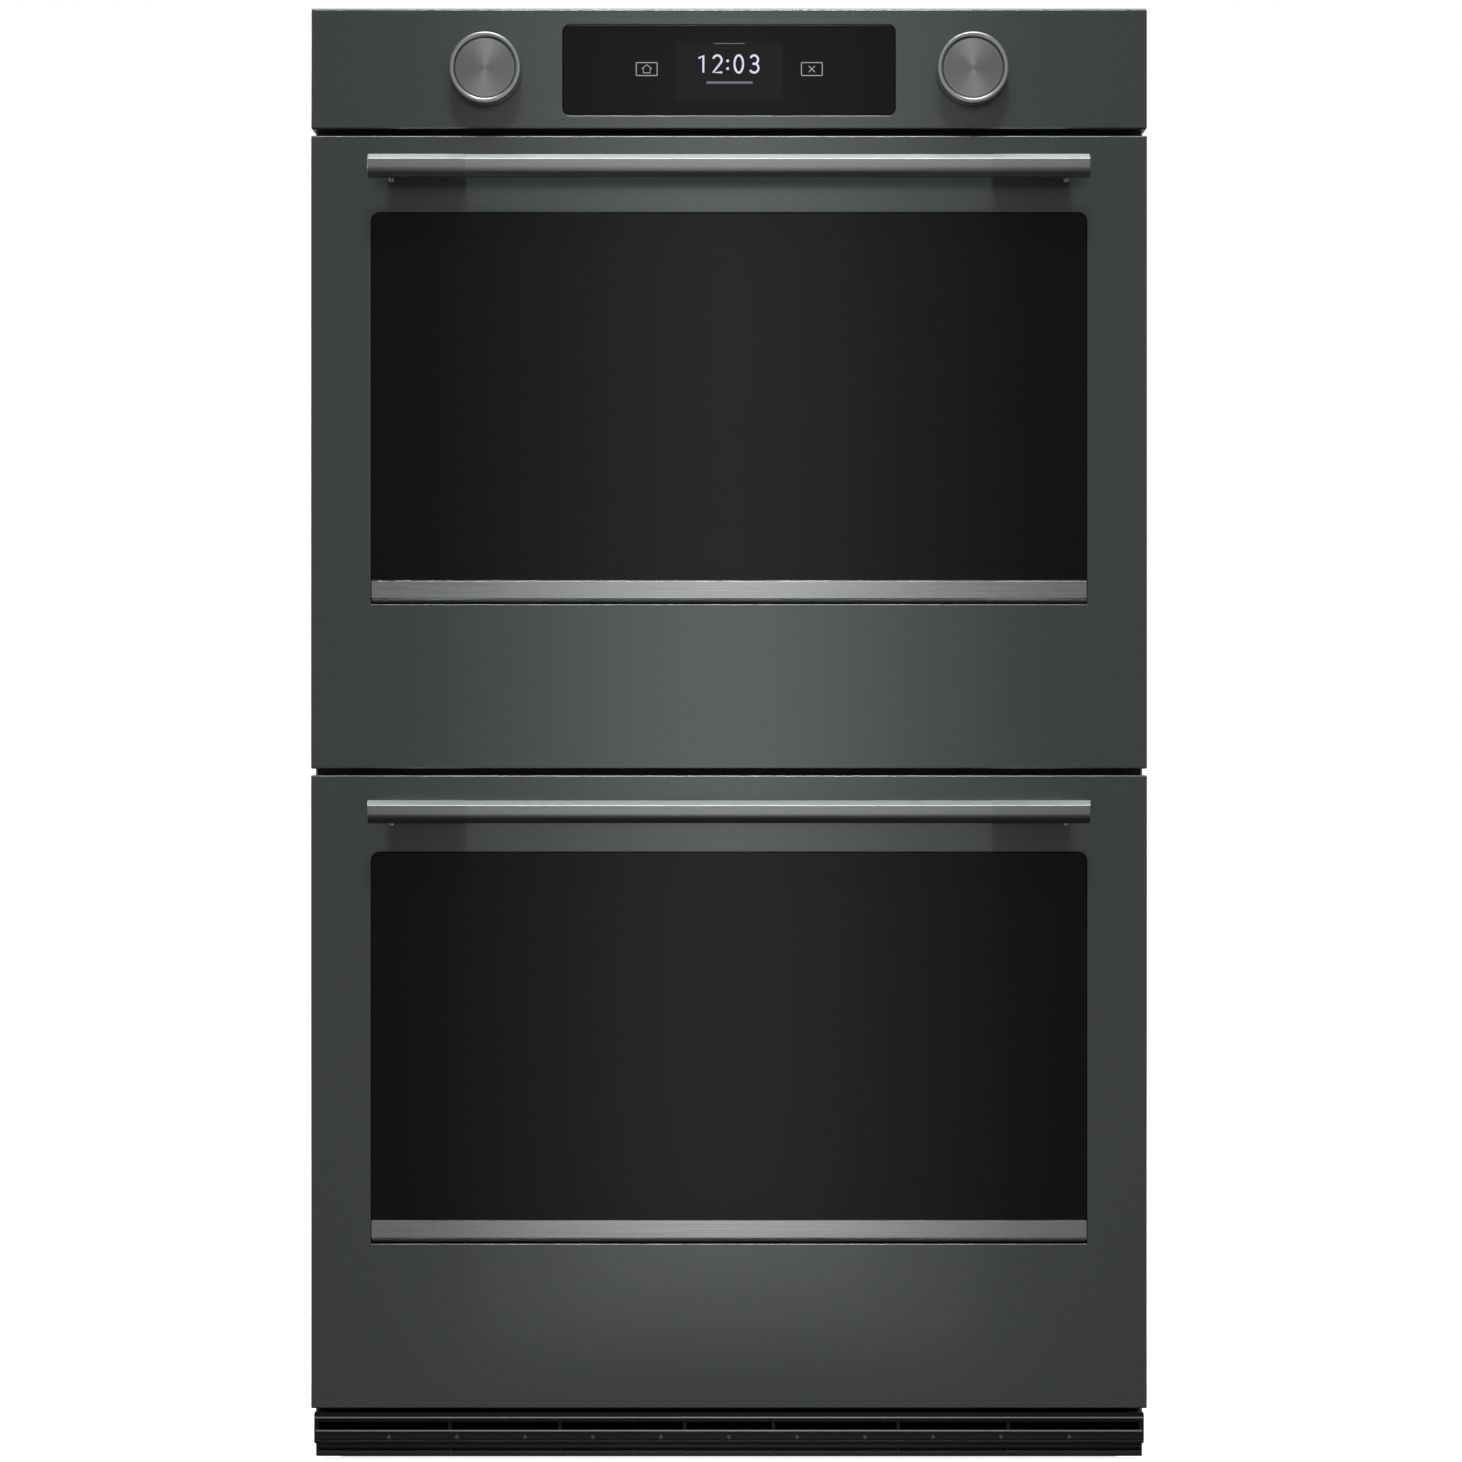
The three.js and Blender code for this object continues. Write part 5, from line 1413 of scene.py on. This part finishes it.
vent_holes = []
field_beads = []
for oven in OVENS:
    fan_z = DOOR_Z[oven] + FAN_RISE
    fan = fan_z / MM
    for i in range(-4, 5):
        x = -i * LOUVRE_PITCH
        vent_holes.append(((x - 4 * MM, x + 4 * MM), span(fan, 60), 3.9 * MM))
    for side in (-1, 1):
        field_beads.append((span(side * 225, 10), span(fan + 15, 175), BEAD_END))
        field_beads.append((span(side * 295, 10), span(fan, 210), BEAD_END))
    field_beads.append((span(0, 170), span(fan + 120, 10), BEAD_END))
    field_beads.append((span(0, 170), span(fan - 120, 10), BEAD_END))
gland_hole = ((-GLAND_X - GLAND_RADIUS, -GLAND_X + GLAND_RADIUS),
              (GLAND_Z - GLAND_RADIUS, GLAND_Z + GLAND_RADIUS), GLAND_RADIUS * 0.99)
rear = sheet((low.x, high.x), (low.z, high.z), -high.y, 3 * MM, vent_holes + [gland_hole], field_beads,
             4 * MM)
turn(rear, Matrix.Rotation(math.pi, 4, "Z"))
thicken(rear, WALL)
piece("rear_sheet", rear, "sheet_steel", "chassis", replaces=["rear_panel"])
screws = bmesh.new()
heads = [(x, 30 + i * 139.5) for i in range(10) for x in (-349, 349)]
heads += [(x, z) for x in (-240, -80, 80, 240) for z in (9, 1307)]
for x, z in heads:
    add_screw(screws, (x * MM, high.y, z * MM), BACKWARD)
piece("rear_screws", screws, "machined_steel", "chassis")
print("rear panel pressed")

# %% Terminal box, its cover plate and the conduit gland
BOX = (55 * MM, 52 * MM, 30 * MM)  # half width, depth, half height
COVER_PLATE = (48 * MM, 1.2 * MM, 26 * MM)
box = bmesh.new()
box_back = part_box("rear_panel")[0].y - FIT
add_box(box, (GLAND_X - BOX[0], box_back - BOX[1], GLAND_Z - BOX[2]),
        (GLAND_X + BOX[0], box_back, GLAND_Z + BOX[2]), 1.5 * MM, 3)
piece("terminal_box", box, "sheet_steel", "chassis", replaces=["junction_box"])
plate = bmesh.new()
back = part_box("rear_panel")[1].y
add_box(plate, (GLAND_X - COVER_PLATE[0], back, GLAND_Z - COVER_PLATE[2]),
        (GLAND_X + COVER_PLATE[0], back + COVER_PLATE[1], GLAND_Z + COVER_PLATE[2]), 0.5 * MM, 2)
for x in (-40, 40):
    for z in (-18, 18):
        add_screw(plate, (GLAND_X + x * MM, back + 1.1 * MM, GLAND_Z + z * MM), BACKWARD, SMALL_SCREW)
piece("terminal_plate", plate, "sheet_steel", "chassis")
GLAND = ((11.0, 0.5), (11.0, 13.4), (11.4, 14.0), (13.4, 14.0), (14.0, 13.4), (14.0, 8.2), (13.2, 8.0),
         (13.2, 5.8), (19.0, 5.6), (19.5, 5.0), (19.5, 1.4), (14.0, 1.2), (11.0, 0.5))
gland = turned(GLAND, (GLAND_X, back, GLAND_Z), 48)
piece("conduit_gland", gland, "machined_steel", "chassis")

print("terminal box closed")

# %% Side panels with their cabinet flanges
WEB_X = 358.5 * MM
FLANGE_X = 380 * MM
FOOT_GAP = 1.3 * MM
UPRIGHT_BEADS = ((-205, -20, 165), ((350, 260), (960, 270)))  # places along Y; middle and half along Z
LEVEL_BEADS = (45, 650, 1275)
SCREW_PITCH = 173
FOLD_REACH = 1.5 * MM
for side, name in ((-1, "left"), (1, "right")):
    low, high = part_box(f"{name}_side_panel")
    beads = [(span(side * y, 11), span(*z), 10.4 * MM) for y in UPRIGHT_BEADS[0] for z in UPRIGHT_BEADS[1]]
    beads += [(span(0, 240), span(z, 9), 8.5 * MM) for z in LEVEL_BEADS]
    web = sheet(mirrored(side, low.y, high.y), (low.z + FOOT_GAP, high.z), -WEB_X, MM, (), beads, 4 * MM)
    turn(web, Matrix.Rotation(math.radians(90 * side), 4, "Z"))
    fold = [e for e in web.edges
            if len(e.link_faces) == 1 and all(abs(v.co.y - low.y) < FOLD_REACH for v in e.verts)]
    pull(web, fold, (side * (FLANGE_X - WEB_X), 0, 0))
    clean(web)
    look(web, (side, 0, 0))
    thicken(web, WALL)
    piece(f"{name}_side_sheet", web, "sheet_steel", "chassis", replaces=[f"{name}_side_panel"])
    screws = bmesh.new()
    for i in range(8):
        z = (50 + i * SCREW_PITCH) * MM
        add_screw(screws, (side * WEB_X, 283 * MM, z), (side, 0, 0))
        add_screw(screws, (side * WEB_X, -262 * MM, z), (side, 0, 0), SMALL_SCREW)
    for y in (-150, 0, 150):
        for z in (1306, 10):
            add_screw(screws, (side * WEB_X, y * MM, z * MM), (side, 0, 0), SMALL_SCREW)
    piece(f"{name}_side_screws", screws, "machined_steel", "chassis")
print("side panels pressed")

# %% Top cover
low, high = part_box("top_cover")
louvres = [(span(x, 40), span(y, 3), 2.9 * MM) for x in (-200, -90, 90, 200) for y in (-190, -170, -150)]
beads = [(span(x, 11), span(75, 175), 10.4 * MM) for x in (-270, -130, 130, 270)]
beads.append((span(0, 300), span(-240, 10), BEAD_END))
top = sheet((low.x, high.x), (low.y, high.y), -high.z, MM, louvres, beads, 3.5 * MM)
turn(top, Matrix.Rotation(math.radians(-90), 4, "X"))
thicken(top, WALL)
piece("top_sheet", top, "sheet_steel", "chassis", replaces=["top_cover"])
APRON_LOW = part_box("upper_cavity")[1].z + FIT
exhaust = [(span(x, 18), span(1222, 5), 3 * MM) for x in range(-200, 201, 50)]
harness = (span(0, 60), span(1271, 15), 6 * MM)
apron = sheet((low.x, high.x), (APRON_LOW, high.z), low.y, MM, exhaust + [harness])
piece("top_apron", thicken(apron, WALL), "sheet_steel", "chassis")
screws = bmesh.new()
for i in range(-3, 4):
    for y in (280, -285):
        add_screw(screws, (i * 110 * MM, y * MM, high.z), (0, 0, 1), 3.4 * MM)
piece("top_screws", screws, "machined_steel", "chassis")
print("top cover pressed")
